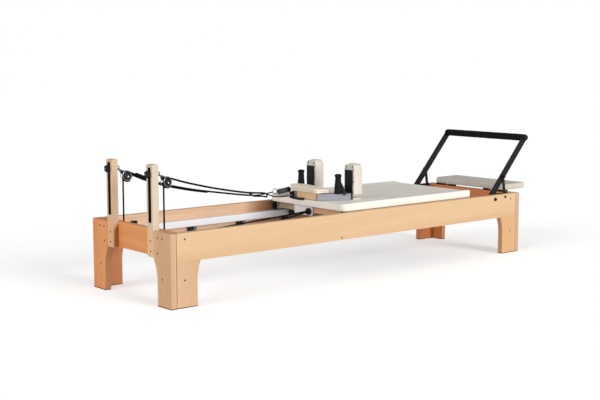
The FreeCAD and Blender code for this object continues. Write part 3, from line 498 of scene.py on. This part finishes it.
def beech(name, along, pale, deep):
    """Beech with its grain along one axis (0, 1 or 2): slow bands of tone that follow the board,
    fine growth lines, and short dark flecks that are thin across the grain."""
    material, shader = finish_of(name, pale, 0.42)

    def grain(across, lengthwise, **values):
        """A cloudy value with one scale across the grain and another along it."""
        stretch = [across] * 3
        stretch[along] = lengthwise
        return noise(material, stretch, **values)

    bands = grain(11.0, 0.7, Detail=3.0, Distortion=0.6)
    lines = grain(110.0, 2.0, Detail=4.0, Roughness=0.6)
    flecks = grain(420.0, 34.0, Detail=1.0)
    depth = worked(material, "MULTIPLY_ADD", lines, 0.3, worked(material, "MULTIPLY", bands, 0.7))
    tone = two_tones(material, shader, depth, deep, pale, 0.34, 0.64)
    spots = ramp(material, flecks, 0.30, 0.38, 0.92, 1.0)
    feed(material, mixed(material, "MULTIPLY", 1.0, tone, spots), shader.inputs["Base Color"])
    feed(material, ramp(material, lines, 0.0, 1.0, 0.38, 0.5), shader.inputs["Roughness"])
    relief(material, shader, lines, 0.10, 0.0004)
    return material


def measures(material):
    """Where a point lies on the part (x, y, z), and which way its surface looks (facing x ...)."""
    where = add(material, "TexCoord")
    found = {}
    for output, word in (("Object", ""), ("Normal", "facing ")):
        parts = add(material, "SeparateXYZ")
        feed(material, where.outputs[output], parts.inputs[0])
        found.update({word + axis: parts.outputs[axis.upper()] for axis in "xyz"})
    return found


def share_of(material, *limits):
    """A product of limits: each is a value, with where it gives 0 and where it gives 1."""
    share = ramp(material, *limits[0])
    for limit in limits[1:]:
        share = worked(material, "MULTIPLY", share, ramp(material, *limit))
    return share


def shade(material, tint, *limits):
    """Multiplies a material's colour by a tint, as far as the limits allow it."""
    base = material.node_tree.nodes["Principled BSDF"].inputs["Base Color"]
    tint = mixed(material, "MIX", share_of(material, *limits), (1, 1, 1, 1), (*tint, 1))
    feed(material, mixed(material, "MULTIPLY", 1.0, base.links[0].from_socket, tint), base)


def joint_lines(material):
    """The dark lines across the side boards where they butt against the end boards."""
    low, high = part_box("side_rail_near")
    off = worked(material, "SUBTRACT", measures(material)["x"], (low.x + high.x) / 2)
    reach = (high.x - low.x) / 2
    shade(material, (0.22, 0.22, 0.22), (worked(material, "MULTIPLY", off, off),
                                         (reach - 0.0032) ** 2, (reach - 0.0012) ** 2))


def finish_nodes(material, *names):
    """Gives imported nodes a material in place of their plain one."""
    for name in names:
        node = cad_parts[name]
        node.data.materials.clear()
        node.data.materials.append(material)


near_rail_beech = beech("near_rail_beech", 0, colour(223, 186, 144), colour(212, 173, 130))
joint_lines(near_rail_beech)
finish_nodes(near_rail_beech, "side_rail_near")

far_rail_beech = beech("far_rail_beech", 0, colour(229, 192, 160), colour(212, 170, 134))
joint_lines(far_rail_beech)
at = measures(far_rail_beech)
# painted shadow of the carriage: the far rail's inner face is darker and browner from about 900 mm
# from the head end to the foot
shade(far_rail_beech, (0.55, 0.40, 0.30), (at["x"], place(880, 0, 0).x, place(1010, 0, 0).x),
      (at["facing y"], -0.4, -0.7))
finish_nodes(far_rail_beech, "side_rail_far")

end_board_beech = beech("end_board_beech", 2, colour(225, 180, 137), colour(212, 164, 120))
at = measures(end_board_beech)
# painted shade: the end boards are redder and darker on the far side
shade(end_board_beech, (1.10, 0.75, 0.48), (at["y"], -0.05, 0.05))
# painted shade: the end boards' faces that look to the near or far side are a little darker and
# cooler
sideways = worked(end_board_beech, "MULTIPLY", at["facing y"], at["facing y"])
shade(end_board_beech, (0.84, 0.88, 0.99), (sideways, 0.25, 0.6))
finish_nodes(end_board_beech, "leg_end_boards")

leg_board_beech = beech("leg_board_beech", 2, colour(214, 175, 138), colour(203, 162, 124))
joint_lines(leg_board_beech)
at = measures(leg_board_beech)
# painted shade: the leg boards are redder and darker on the far side
shade(leg_board_beech, (1.1, 0.68, 0.45), (at["y"], -0.05, 0.05))
shade(leg_board_beech, (1.08, 0.98, 0.82), (at["x"], -0.1, 0.1))
finish_nodes(leg_board_beech, "leg_side_boards")

post_beech = beech("post_beech", 2, colour(223, 203, 178), colour(212, 186, 158))
at = measures(post_beech)
# painted shade: the far post is redder
shade(post_beech, (1.03, 0.90, 0.83), (at["y"], -0.05, 0.05))
# painted shade: the posts' faces that look to the near side are a little darker
shade(post_beech, (0.91, 0.93, 0.94), (at["facing y"], -0.5, -0.8))
# painted shade: the posts' faces that look to the head end are redder below the frame's top
shade(post_beech, (1.18, 0.92, 0.66), (at["z"], 0.370, 0.320), (at["facing x"], -0.5, -0.8))
# painted shadow: the posts' inward faces are dark brown below a slanted edge, from 8 mm from the
# head end on
painted_shadow_foot = place(10, 0, 302)
painted_shadow_slope = 1.15
slant = worked(post_beech, "SUBTRACT", at["z"],
               worked(post_beech, "MULTIPLY", at["x"], painted_shadow_slope))
painted_shadow_edge = painted_shadow_foot.z - painted_shadow_slope * painted_shadow_foot.x
inward = worked(post_beech, "MULTIPLY", at["y"], at["facing y"])
shade(post_beech, (0.67, 0.34, 0.14), (inward, -0.08, -0.12),
      (slant, painted_shadow_edge + 0.001, painted_shadow_edge - 0.001),
      (at["x"], place(7.5, 0, 0).x, place(8.5, 0, 0).x))
finish_nodes(post_beech, "pulley_posts")

beam_beech = beech("beam_beech", 1, colour(246, 172, 106), colour(228, 147, 82))
# painted shade: the foot crossbeam is darker and redder than the head one
shade(beam_beech, (0.90, 0.72, 0.70), (measures(beam_beech)["x"], -0.1, 0.1))
finish_nodes(beam_beech, "head_crossbeam", "foot_crossbeam")

block_beech = beech("block_beech", 1, colour(242, 208, 166), colour(226, 184, 138))
finish_nodes(block_beech, "headrest_block")

underframe_beech = beech("underframe_beech", 0, colour(222, 176, 134), colour(200, 150, 108))
shade(underframe_beech, (0.56, 0.80, 1.0), (measures(underframe_beech)["y"], -0.05, 0.15))
finish_nodes(underframe_beech, "carriage_frame")

# ---- Metal and plastic fittings ---------------------------------------------------------
# Powder-coated steel, anodised track, zinc-plated brackets, and moulded black plastic.


def powder_coat(name, base):
    """Powder coat: a faint orange peel over an even dark colour."""
    material, shader = finish_of(name, base, 0.42)
    shader.inputs["Specular IOR Level"].default_value = 0.3
    relief(material, shader, noise(material, Scale=900.0), 0.15, 0.0003)
    patches = noise(material, Scale=16.0)
    feed(material, ramp(material, patches, 0.0, 1.0, 0.34, 0.5), shader.inputs["Roughness"])
    return material


def drawn_metal(name, base, along, roughness, bare=1.0):
    """Bare metal with fine draw lines along one axis; an anodised skin makes it less bare."""
    material, shader = finish_of(name, base, roughness, bare)
    stretch = [900.0, 900.0, 900.0]
    stretch[along] = 8.0
    lines = noise(material, stretch)
    relief(material, shader, lines, 0.1, 0.0002)
    feed(material, ramp(material, lines, 0.0, 1.0, roughness - 0.08, roughness + 0.12),
         shader.inputs["Roughness"])
    return material


def moulded(name, base, roughness, grain=600.0, depth=0.0002):
    """Moulded plastic or rubber with a fine, even spark-eroded grain."""
    material, shader = finish_of(name, base, roughness)
    shader.inputs["Specular IOR Level"].default_value = 0.25
    relief(material, shader, noise(material, Scale=grain, Detail=3.0), 0.3, depth)
    return material


def overlay(material, tone, *limits):
    """Gives part of a plain material another colour, as far as the limits allow it."""
    base = material.node_tree.nodes["Principled BSDF"].inputs["Base Color"]
    plain = tuple(base.default_value)
    feed(material, mixed(material, "MIX", share_of(material, *limits), plain, tone), base)


black_coat = powder_coat("black_coat", colour(16, 16, 17))

plate_coat = powder_coat("plate_coat", colour(16, 16, 17))     # its sole is painted pale
at = measures(plate_coat)
sole_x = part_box("shoulder_pads")[0].x + 0.0005
sole_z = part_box("carriage_pad")[1].z + 0.0064
overlay(plate_coat, colour(222, 216, 206), (at["x"], sole_x - 0.0004, sole_x),
        (at["z"], sole_z + 0.0004, sole_z))

bracket_coat = powder_coat("bracket_coat", colour(20, 18, 17))  # part of each is painted grey
bracket_pitch = 0.310
along = worked(bracket_coat, "SUBTRACT", measures(bracket_coat)["x"], place(216, 0, 0).x)
along = worked(bracket_coat, "FRACT", worked(bracket_coat, "DIVIDE", along, bracket_pitch))
overlay(bracket_coat, colour(120, 120, 122), (along, 0.074, 0.080), (along, 0.118, 0.112))

track_metal = drawn_metal("track_metal", colour(240, 240, 242), 0, 0.5, 0.42)
plated_metal = drawn_metal("plated_metal", colour(176, 178, 182), 2, 0.34)
black_plastic = moulded("black_plastic", colour(18, 18, 19), 0.5)
black_rubber = moulded("black_rubber", colour(18, 18, 19), 0.78)
# painted shade: the slot linings are dark brown, coloured as the posts' slots look in deep shade
slot_shade_brown = moulded("slot_shade_brown", colour(34, 22, 13), 0.7)
grip_foam = moulded("grip_foam", colour(10, 10, 11), 0.88, 1400.0, 0.0004)
grey_plastic = moulded("grey_plastic", colour(152, 152, 161), 0.5)
finish_nodes(black_coat, "frame_screws", "footbar_anchor_plates", "footbar_bolts",
             "redirect_housings", "spring_hook_bar", "headrest_hinge",
             "footbar_frame", "footbar_struts")
finish_nodes(plate_coat, "shoulder_rest_plates")
finish_nodes(bracket_coat, "track_brackets")
finish_nodes(track_metal, "guide_tracks", "rope_anchor")
finish_nodes(plated_metal, "spring_bar", "wheel_brackets")
finish_nodes(slot_shade_brown, "post_slot_linings")
finish_nodes(black_plastic, "platform_supports", "rope_cleat", "head_wheels",
             "foot_wheels", "guide_wheel_head_near", "guide_wheel_head_far",
             "guide_wheel_foot_near", "guide_wheel_foot_far", "redirect_sheave_near",
             "redirect_sheave_far", "riser_sheave_near", "riser_sheave_far", "post_knob_near",
             "post_knob_far", "footbar_end_caps")
finish_nodes(black_rubber, "foot_pads", "track_stops")
finish_nodes(grey_plastic, "shoulder_rest_bases")

# ---- Hanging pulleys --------------------------------------------------------------------
# A black pressed block hangs from a steel eye and ring. Each of its cheeks has a bright wire
# guard round the wheel, and the wheel's pin has a domed steel head.
cheek_face = 0.008
guard_size, guard_gap, guard_wire = 0.0185, 0.0016, 0.0017
pin_head_radius, pin_head_rise, pin_head_gap = 0.0052, 0.0024, 0.0019
block_lean, block_rise = 0.755, 0.656      # the block's slant, towards the head end and up


def steel_over_black(name, height):
    """Zinc-plated steel above a height, and black powder coat below it."""
    material, shader = finish_of(name, colour(22, 22, 23), 0.4)
    above = ramp(material, measures(material)["z"], height - 0.001, height + 0.001)
    two_tones(material, shader, above, colour(22, 22, 23), colour(150, 152, 156))
    feed(material, above, shader.inputs["Metallic"])
    relief(material, shader, noise(material, Scale=900.0), 0.15, 0.0003)
    return material


hung_block = steel_over_black("hung_block", place(0, 0, 573).z)
finish_nodes(hung_block, "pulley_carrier_near", "pulley_carrier_far")


def guard_line(size):
    """A drop round the wheel's pin: its distance from the pin is the size times 1 + 0.85 times
    the sixth power of the cosine of half the angle from the block's direction."""
    angle = np.linspace(0, 2 * math.pi, 56, endpoint=False)
    reach = size * (1 + 0.85 * np.abs(np.cos(angle / 2)) ** 6)
    return np.column_stack([reach * np.cos(angle), reach * np.sin(angle)])


for side in ("near", "far"):
    line = np.array([climb_x, climb_y[side]])
    run = np.array(rope_routes[side][0][:2]) - line
    run = run / np.hypot(*run)
    along = np.array([run[0], run[1], 0.0])
    across = np.array([-run[1], run[0], 0.0])
    pin = np.array(place(*(line + sheave_reach * run), riser_height))
    up = np.array([-block_lean * along[0], -block_lean * along[1], block_rise])
    over = np.cross(across, up)
    for number, face in enumerate((-1, 1)):
        drop = guard_line(guard_size)
        centre = pin + face * (cheek_face + guard_gap) * across
        points = centre + drop[:, :1] * up + drop[:, 1:] * over
        guard = wire_ring(f"pulley_guard_{side}_{number + 1}", points, across, guard_wire, 10,
                          steel_ring)
        tilt = np.linspace(0.02, math.pi / 2, 7)
        turn = np.linspace(0, 2 * math.pi, 20, endpoint=False)
        radius = pin_head_radius * np.sin(tilt)
        proud = cheek_face + pin_head_gap + pin_head_rise * np.cos(tilt)
        dome = (pin + radius[:, None, None] * (np.cos(turn)[None, :, None] * up
                                               + np.sin(turn)[None, :, None] * over)
                + face * proud[:, None, None] * across)
        head = skin(f"pulley_pin_head_{side}_{number + 1}", dome, steel_ring)
        for piece in (guard, head):
            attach(piece, f"pulley_carrier_{side}")

# ---- Snap hook --------------------------------------------------------------------------
# It joins the near rope to its loop: an upright oval of wire, 1.6 times as thick at its foot as
# at its top.
hook_reach, hook_rise, hook_wire = 0.0130, 0.0100, 0.0030
turn = np.linspace(0, 2 * math.pi, 48, endpoint=False)
hook_line = np.array(place(1050.2, 104.5, 384)) + np.column_stack(
    [np.zeros(48), hook_reach * np.cos(turn), hook_rise * np.sin(turn)])
snap_hook = wire_ring("snap_hook_near", hook_line, (1.0, 0.0, 0.0),
                      hook_wire * (1 + 0.3 * (1 - np.sin(turn))), 14, black_braid)
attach(snap_hook, "carriage")

# ---- Hand pegs --------------------------------------------------------------------------
# A moulded rubber grip over the steel pin of each shoulder rest: a barrel that widens towards
# its foot under a domed cap. A black steel stay runs from it down to the rest's plate.
peg_low, peg_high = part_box("hand_pegs")
peg_cap = (peg_high.x - peg_low.x) / 2
peg_x = (peg_low.x + peg_high.x) / 2
peg_girth = np.array([1.08, 1.16, 1.18, 1.15, 1.11, 1.06, 1.01, 0.96, 0.91, 0.88, 0.92, 1.04,
                      1.08, 1.06, 0.97, 0.8, 0.5, 0.2]) * peg_cap
peg_rise = np.array([0.0, 0.006, 0.04, 0.14, 0.26, 0.38, 0.5, 0.62, 0.73, 0.8, 0.845, 0.865,
                     0.895, 0.93, 0.96, 0.98, 0.994, 1.0])
turn = np.linspace(0, 2 * math.pi, 32, endpoint=False)
for side, sign in (("near", -1), ("far", 1)):
    peg_y = sign * (peg_high.y - peg_cap)
    lathe = np.stack([peg_x + peg_girth[:, None] * np.cos(turn)[None],
                      peg_y + peg_girth[:, None] * np.sin(turn)[None],
                      np.broadcast_to(peg_low.z + (peg_high.z - peg_low.z)
                                      * peg_rise[:, None], (18, 32))], axis=-1)
    peg = skin(f"hand_peg_{side}", lathe, black_rubber)
    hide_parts("hand_pegs")
    plate_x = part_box("shoulder_rest_plates")[0].x
    share = np.linspace(0, 1, 24)[:, None]
    stay_from = np.array([peg_x + peg_cap * 0.6, peg_y + sign * peg_cap * 0.6, peg_low.z + 0.052])
    stay_to = np.array([plate_x + 0.003, peg_y + sign * 0.0345, peg_low.z - 0.006])
    line = stay_from + (stay_to - stay_from) * share
    line[:, 2] += 0.004 * np.sin(math.pi * share[:, 0])
    stay = skin(f"peg_stay_{side}", tube_along(line, 0.0058), black_coat)
    for piece in (peg, stay):
        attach(piece, "carriage")

# ---- Footbar grip -----------------------------------------------------------------------
# A sleeve of closed-cell foam, stretched over the bar. It is slightly barrelled, its ends are
# rounded where they meet the arms, and it has a pebbled skin.
grip_low, grip_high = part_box("footbar_grip")
grip_thick = (grip_high.x - grip_low.x) / 2
share = np.concatenate([np.linspace(-1, -0.985, 8), np.linspace(-0.97, 0.97, 60),
                        np.linspace(0.985, 1, 8)])
grip_end = (1 - np.clip((np.abs(share) - 0.985) / 0.015, 0, 1) ** 2) ** 0.5
grip_girth = grip_thick * (0.9 + 0.1 * grip_end) * (1 - 0.012 * share ** 2)
turn = np.linspace(0, 2 * math.pi, 32, endpoint=False)
grip_grid = np.stack([
    (grip_low.x + grip_high.x) / 2 + grip_girth[:, None] * np.cos(turn)[None],
    np.broadcast_to((grip_high.y * share)[:, None], (len(share), 32)),
    (grip_low.z + grip_high.z) / 2 + grip_girth[:, None] * np.sin(turn)[None]], axis=-1)
grip_sleeve = skin("footbar_grip_sleeve", grip_grid, grip_foam)
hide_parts("footbar_grip")
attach(grip_sleeve, "footbar")

# ---- Plywood boards ---------------------------------------------------------------------
# Birch plywood under each pad, lacquered, with its plies showing at the edge.


def plywood(name, pale, deep):
    """Plywood: level plies in two tones through the thickness, and a faint grain along X."""
    material, shader = finish_of(name, pale, 0.5)
    plies = ridges(material, object_space(material, (1, 1, 180.0)), "Z", 0.4)
    grain = noise(material, (3.0, 90.0, 90.0), Detail=3.0)
    two_tones(material, shader, worked(material, "MULTIPLY", plies, grain), deep, pale, 0.05, 0.5)
    relief(material, shader, grain, 0.1, 0.0003)
    return material


birch_ply = plywood("birch_ply", colour(222, 190, 150), colour(170, 128, 88))
finish_nodes(birch_ply, "carriage_board", "platform_board")

# ---- Upholstered pads -------------------------------------------------------------------
# Firm foam glued to a board and wrapped in warm grey synthetic leather, which is stapled under
# the board. The top is slightly crowned, and the cover is drawn round the corners.


def leather(name, base, shadow):
    """Synthetic leather: a pebbled grain, small creases, and a slow change of tone."""
    material, shader = finish_of(name, base, 0.5)
    shader.inputs["Sheen Weight"].default_value = 0.08
    pebble = add(material, "TexVoronoi", Scale=620.0)
    feed(material, object_space(material, (1, 1, 1)), pebble.inputs["Vector"])
    height = worked(material, "MULTIPLY_ADD", pebble.outputs["Distance"], 0.35,
                    noise(material, Scale=70.0, Detail=5.0))
    relief(material, shader, height, 0.22, 0.0005)
    two_tones(material, shader, noise(material, Scale=5.0, Detail=3.0), shadow, base, 0.3, 0.7)
    return material


grey_leather = leather("grey_leather", colour(250, 244, 233), colour(244, 237, 225))
dusky_leather = leather("dusky_leather", colour(211, 204, 192), colour(204, 196, 183))
beige_leather = leather("beige_leather", colour(222, 215, 205), colour(215, 207, 196))
cream_leather = leather("cream_leather", colour(240, 228, 207), colour(232, 219, 197))


def pad_outline(length, width, head_radius, foot_radius):
    """Points and outward directions round a rectangle centred on the origin, with rounded
    corners: each corner is an arc, and points also stand along each side."""
    points, normals = [], []
    corners = [(-1, -1, head_radius, 180), (1, -1, foot_radius, 270), (1, 1, foot_radius, 0),
               (-1, 1, head_radius, 90)]
    for i, (sx, sy, radius, start) in enumerate(corners):
        centre = np.array([sx * (length / 2 - radius), sy * (width / 2 - radius)])
        angle = np.radians(np.linspace(start, start + 90, 15))
        way = np.column_stack([np.cos(angle), np.sin(angle)])
        arc = centre + radius * way
        nx, ny, nr, ns = corners[(i + 1) % 4]
        nxt = np.array([nx * (length / 2 - nr), ny * (width / 2 - nr)])
        turn = math.radians(ns)
        begin = nxt + nr * np.array([math.cos(turn), math.sin(turn)])
        side = np.linspace(arc[-1], begin, 22)[1:-1]
        points += [arc, side]
        normals += [way, np.repeat(way[-1:], len(side), axis=0)]
    return np.concatenate(points), np.concatenate(normals)


def pad_skin(length, width, height, head_radius, foot_radius, roll, crown, bulge, tuck=0.002):
    """A padded slab that stands on z = 0: a flat underside, sides that bulge like a shallow arc,
    an edge rolled through a quarter circle, and a top that rises to a low crown. A seam draws
    the side in by half a millimetre just under the roll. Each row is the outline moved in by
    some distance, then drawn towards the middle."""
    outline, normal = pad_outline(length, width, head_radius, foot_radius)
    rows = [(outline * share, 0.0) for share in (0.25, 0.6, 0.95)]
    lift = np.array([0, 0.12, 0.25, 0.38, 0.5, 0.62, 0.74, 0.84, 0.88, 0.92, 0.96, 1.0])
    for t in lift:
        seam = 0.0005 * math.exp(-((t - 0.92) / 0.02) ** 2)
        out = bulge * math.sin(math.pi * t) - tuck * (1 - t) ** 2 - seam
        rows.append((outline + normal * (out - bulge), t * (height - roll)))
    for a in np.radians(np.linspace(12, 90, 8)):
        inset = roll * (1 - math.cos(a))
        rows.append((outline - normal * (inset + bulge), height - roll + roll * math.sin(a)))
    inner = outline - normal * (roll + bulge)
    for share in (0.985, 0.96, 0.92, 0.86, 0.78, 0.68, 0.56, 0.42, 0.28, 0.14):
        rows.append((inner * share, height + crown * (1 - share ** 4)))
    grid = [np.column_stack([flat, np.full(len(flat), z)]) for flat, z in rows]
    return np.array(grid)


def upholstered(name, node, material, body, head_radius, foot_radius, roll, crown, bulge,
                near_fall=0.0, foot_fall=0.0, rim=0.0):
    """A pad that stands in the place of a plain packed block and is as large as it. Its height
    falls towards its near end by near_fall times the square of the way across, and towards its
    foot side by foot_fall times the 1.6th power. A rim swells along its two long sides, over the
    last fifth of the way out."""
    low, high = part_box(node)
    length, width, height = high - low
    grid = pad_skin(length, width, height - crown, head_radius, foot_radius, roll, crown, bulge)
    out = np.clip(0.5 - grid[..., 1] / width, 0, 1) ** 2
    back = np.clip(grid[..., 0] / length + 0.5, 0, 1) ** 1.6
    grid[..., 2] *= 1 - near_fall * out - foot_fall * back
    rise = np.clip((np.abs(grid[..., 1]) * 2 / width - 0.76) / 0.2, 0, 1)
    grid[..., 2] += rim * rise ** 2 * (3 - 2 * rise) * grid[..., 2] / height
    grid = grid + np.array([(low.x + high.x) / 2, (low.y + high.y) / 2, low.z])
    pad = skin(name, grid, material)
    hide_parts(node)
    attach(pad, body)
    return pad


upholstered("carriage_cushion", "carriage_pad", grey_leather, "carriage", 0.036,
            0.016, 0.006, 0.003, 0.001, rim=0.006)
upholstered("platform_cushion", "platform_pad", dusky_leather, "frame", 0.025, 0.025,
            0.007, 0.003, 0.001)
upholstered("headrest_cushion", "headrest_pad", cream_leather, "headrest", 0.030, 0.030,
            0.008, 0.003, 0.001, 0.45, 0.3)
finish_nodes(cream_leather, "headrest_board")

# ---- Shoulder pads ----------------------------------------------------------------------
# Upright blocks of firm foam in beige leather, rounded over the top, that stand against the
# black steel plates.
rest_inner = 0.114             # from the carriage's middle to a pad


def shoulder_pad(name, side):
    """An upright pad: the outline is a rounded rectangle seen along X, its sides bulge, and its
    front is crowned. It is drawn lying down and then stood up."""
    low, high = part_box("shoulder_pads")
    depth = high.x - low.x
    width = high.y - (low.y + high.y) / 2 - rest_inner
    tall = high.z - low.z
    grid = pad_skin(tall, width, depth - 0.003, 0.012, 0.026, 0.008, 0.003, 0.002)
    stood = np.stack([grid[..., 2], grid[..., 1], grid[..., 0]], axis=-1)
    middle = np.array([low.x, side * (rest_inner + width / 2), (low.z + high.z) / 2])
    pad = skin(name, stood + middle, beige_leather)
    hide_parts("shoulder_pads")
    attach(pad, "carriage")


shoulder_pad("shoulder_cushion_near", -1)
shoulder_pad("shoulder_cushion_far", 1)

# ---- Hand loops -------------------------------------------------------------------------
# Soft padded grips in dark grey cloth with black webbing. They lie on the carriage's head end.


def woven(name, dark, light, across, along):
    """Woven cloth: two sets of ridges that cross on the piece's own surface."""
    material, shader = finish_of(name, dark, 0.85)
    threads = [ridges(material, piece_space(material, (scale, scale, 1)), direction)
               for direction, scale in (("X", across), ("Y", along))]
    weave = worked(material, "MULTIPLY", *threads)
    two_tones(material, shader, weave, dark, light)
    relief(material, shader, weave, 0.5, 0.0004)
    return material


grip_cloth = woven("grip_cloth", colour(66, 70, 70), colour(104, 108, 108), 160.0, 160.0)
webbing = woven("webbing", colour(26, 25, 25), colour(66, 60, 56), 220.0, 90.0)
grip_places = {"near": ((1070, 129, 388.8), (1124, 167, 388.8)),
               "far": ((1066, 232, 390.8), (1086, 164, 409.3))}


def hand_grip(side, girth):
    """A round padded grip between two points. Its radius is the full one, less 4 percent at the
    middle where it is held, less a shallow dip at each cap's seam, and it closes in a quarter
    circle over its last 3 mm. The caps are webbing, and the sleeve between them is cloth."""
    start, end = (np.array(place(*p)) for p in grip_places[side])
    length = np.linalg.norm(end - start)
    edge = np.linspace(0, 0.003, 7)
    along = np.concatenate([edge, np.linspace(0.004, length - 0.004, 46), length - edge[::-1]])
    from_end = np.minimum(along, length - along)
    closing = np.sqrt(np.clip(1 - (1 - np.clip(from_end / 0.003, 0, 1)) ** 2, 0.0004, 1))
    dip = 0.05 * np.exp(-((from_end - 0.010) / 0.0012) ** 2)
    waist = 0.04 * np.sin(math.pi * along / length) ** 2
    size = girth * (0.7 + 0.3 * closing) * (1 - dip - waist)
    path = start + (along / length)[:, None] * (end - start)
    middle = (from_end >= 0.009)
    cloth = skin(f"hand_grip_{side}", tube_along(path[middle], size[middle], 28), grip_cloth)
    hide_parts(f"hand_loop_{side}")
    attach(cloth, "carriage")
    for number, cap in enumerate((along <= 0.0105, along >= length - 0.0105)):
        sewn = skin(f"hand_grip_cap_{side}_{number + 1}", tube_along(path[cap], size[cap], 28),
                    webbing)
        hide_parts(f"hand_loop_{side}")
        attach(sewn, "carriage")


hand_grip("near", 0.0133)
hand_grip("far", 0.0145)

strap_y = np.linspace(8.5, 99.5, 90)
strap_middle = metres(np.column_stack([1053.2 + 0.9 * np.sin(strap_y / 9), strap_y,
                                       373 + 0.9 * np.sin(strap_y / 14 + 1)]))
strap_edge = np.radians([0, 20, 45, 70, 90, 110, 135, 160, 180, 200, 225, 250, 270, 290, 315, 340])
strap_x = 0.0014 * np.sign(np.sin(strap_edge)) * np.abs(np.sin(strap_edge)) ** 0.6
strap_z = 0.0068 * np.sign(np.cos(strap_edge)) * np.abs(np.cos(strap_edge)) ** 0.5
section = np.column_stack([strap_x, np.zeros(16), strap_z])
strap = skin("hand_strap_near", strap_middle[:, None] + section[None], webbing)
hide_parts("hand_loop_near")
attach(strap, "carriage")

# ---- Springs ----------------------------------------------------------------------------
# Five extension springs of bright steel wire between the carriage's hook bar and the spring bar.
spring_count = 5
spring_room = 0.013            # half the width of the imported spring
coil_radius = 0.0115
wire_radius = 0.0016
hook = 0.034
turns = 110
spring_low, spring_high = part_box("springs")
spring_y = np.linspace(spring_low.y + spring_room, spring_high.y - spring_room, spring_count)
spring_z = (spring_low.z + spring_high.z) / 2
t = np.linspace(0, 1, turns * 12)
x = spring_low.x + hook + t * (spring_high.x - spring_low.x - 2 * hook)
wind = 2 * math.pi * turns * t
lead = np.linspace(0, 1, 8)[:, None]
for number, y in enumerate(spring_y):
    coil = np.column_stack([x, y + coil_radius * np.cos(wind),
                            spring_z + coil_radius * np.sin(wind)])
    start = np.array([spring_low.x, y, spring_z])
    finish = np.array([spring_high.x, y, spring_z])
    path = np.concatenate([start + (coil[0] - start) * lead[:-1], coil,
                           coil[-1] + (finish - coil[-1]) * lead[1:]])
    spring = skin(f"spring_{number + 1}", tube_along(path, wire_radius, 6, (1.0, 0.0, 0.001)),
                  plated_metal)
    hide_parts("springs")
    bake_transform(spring)
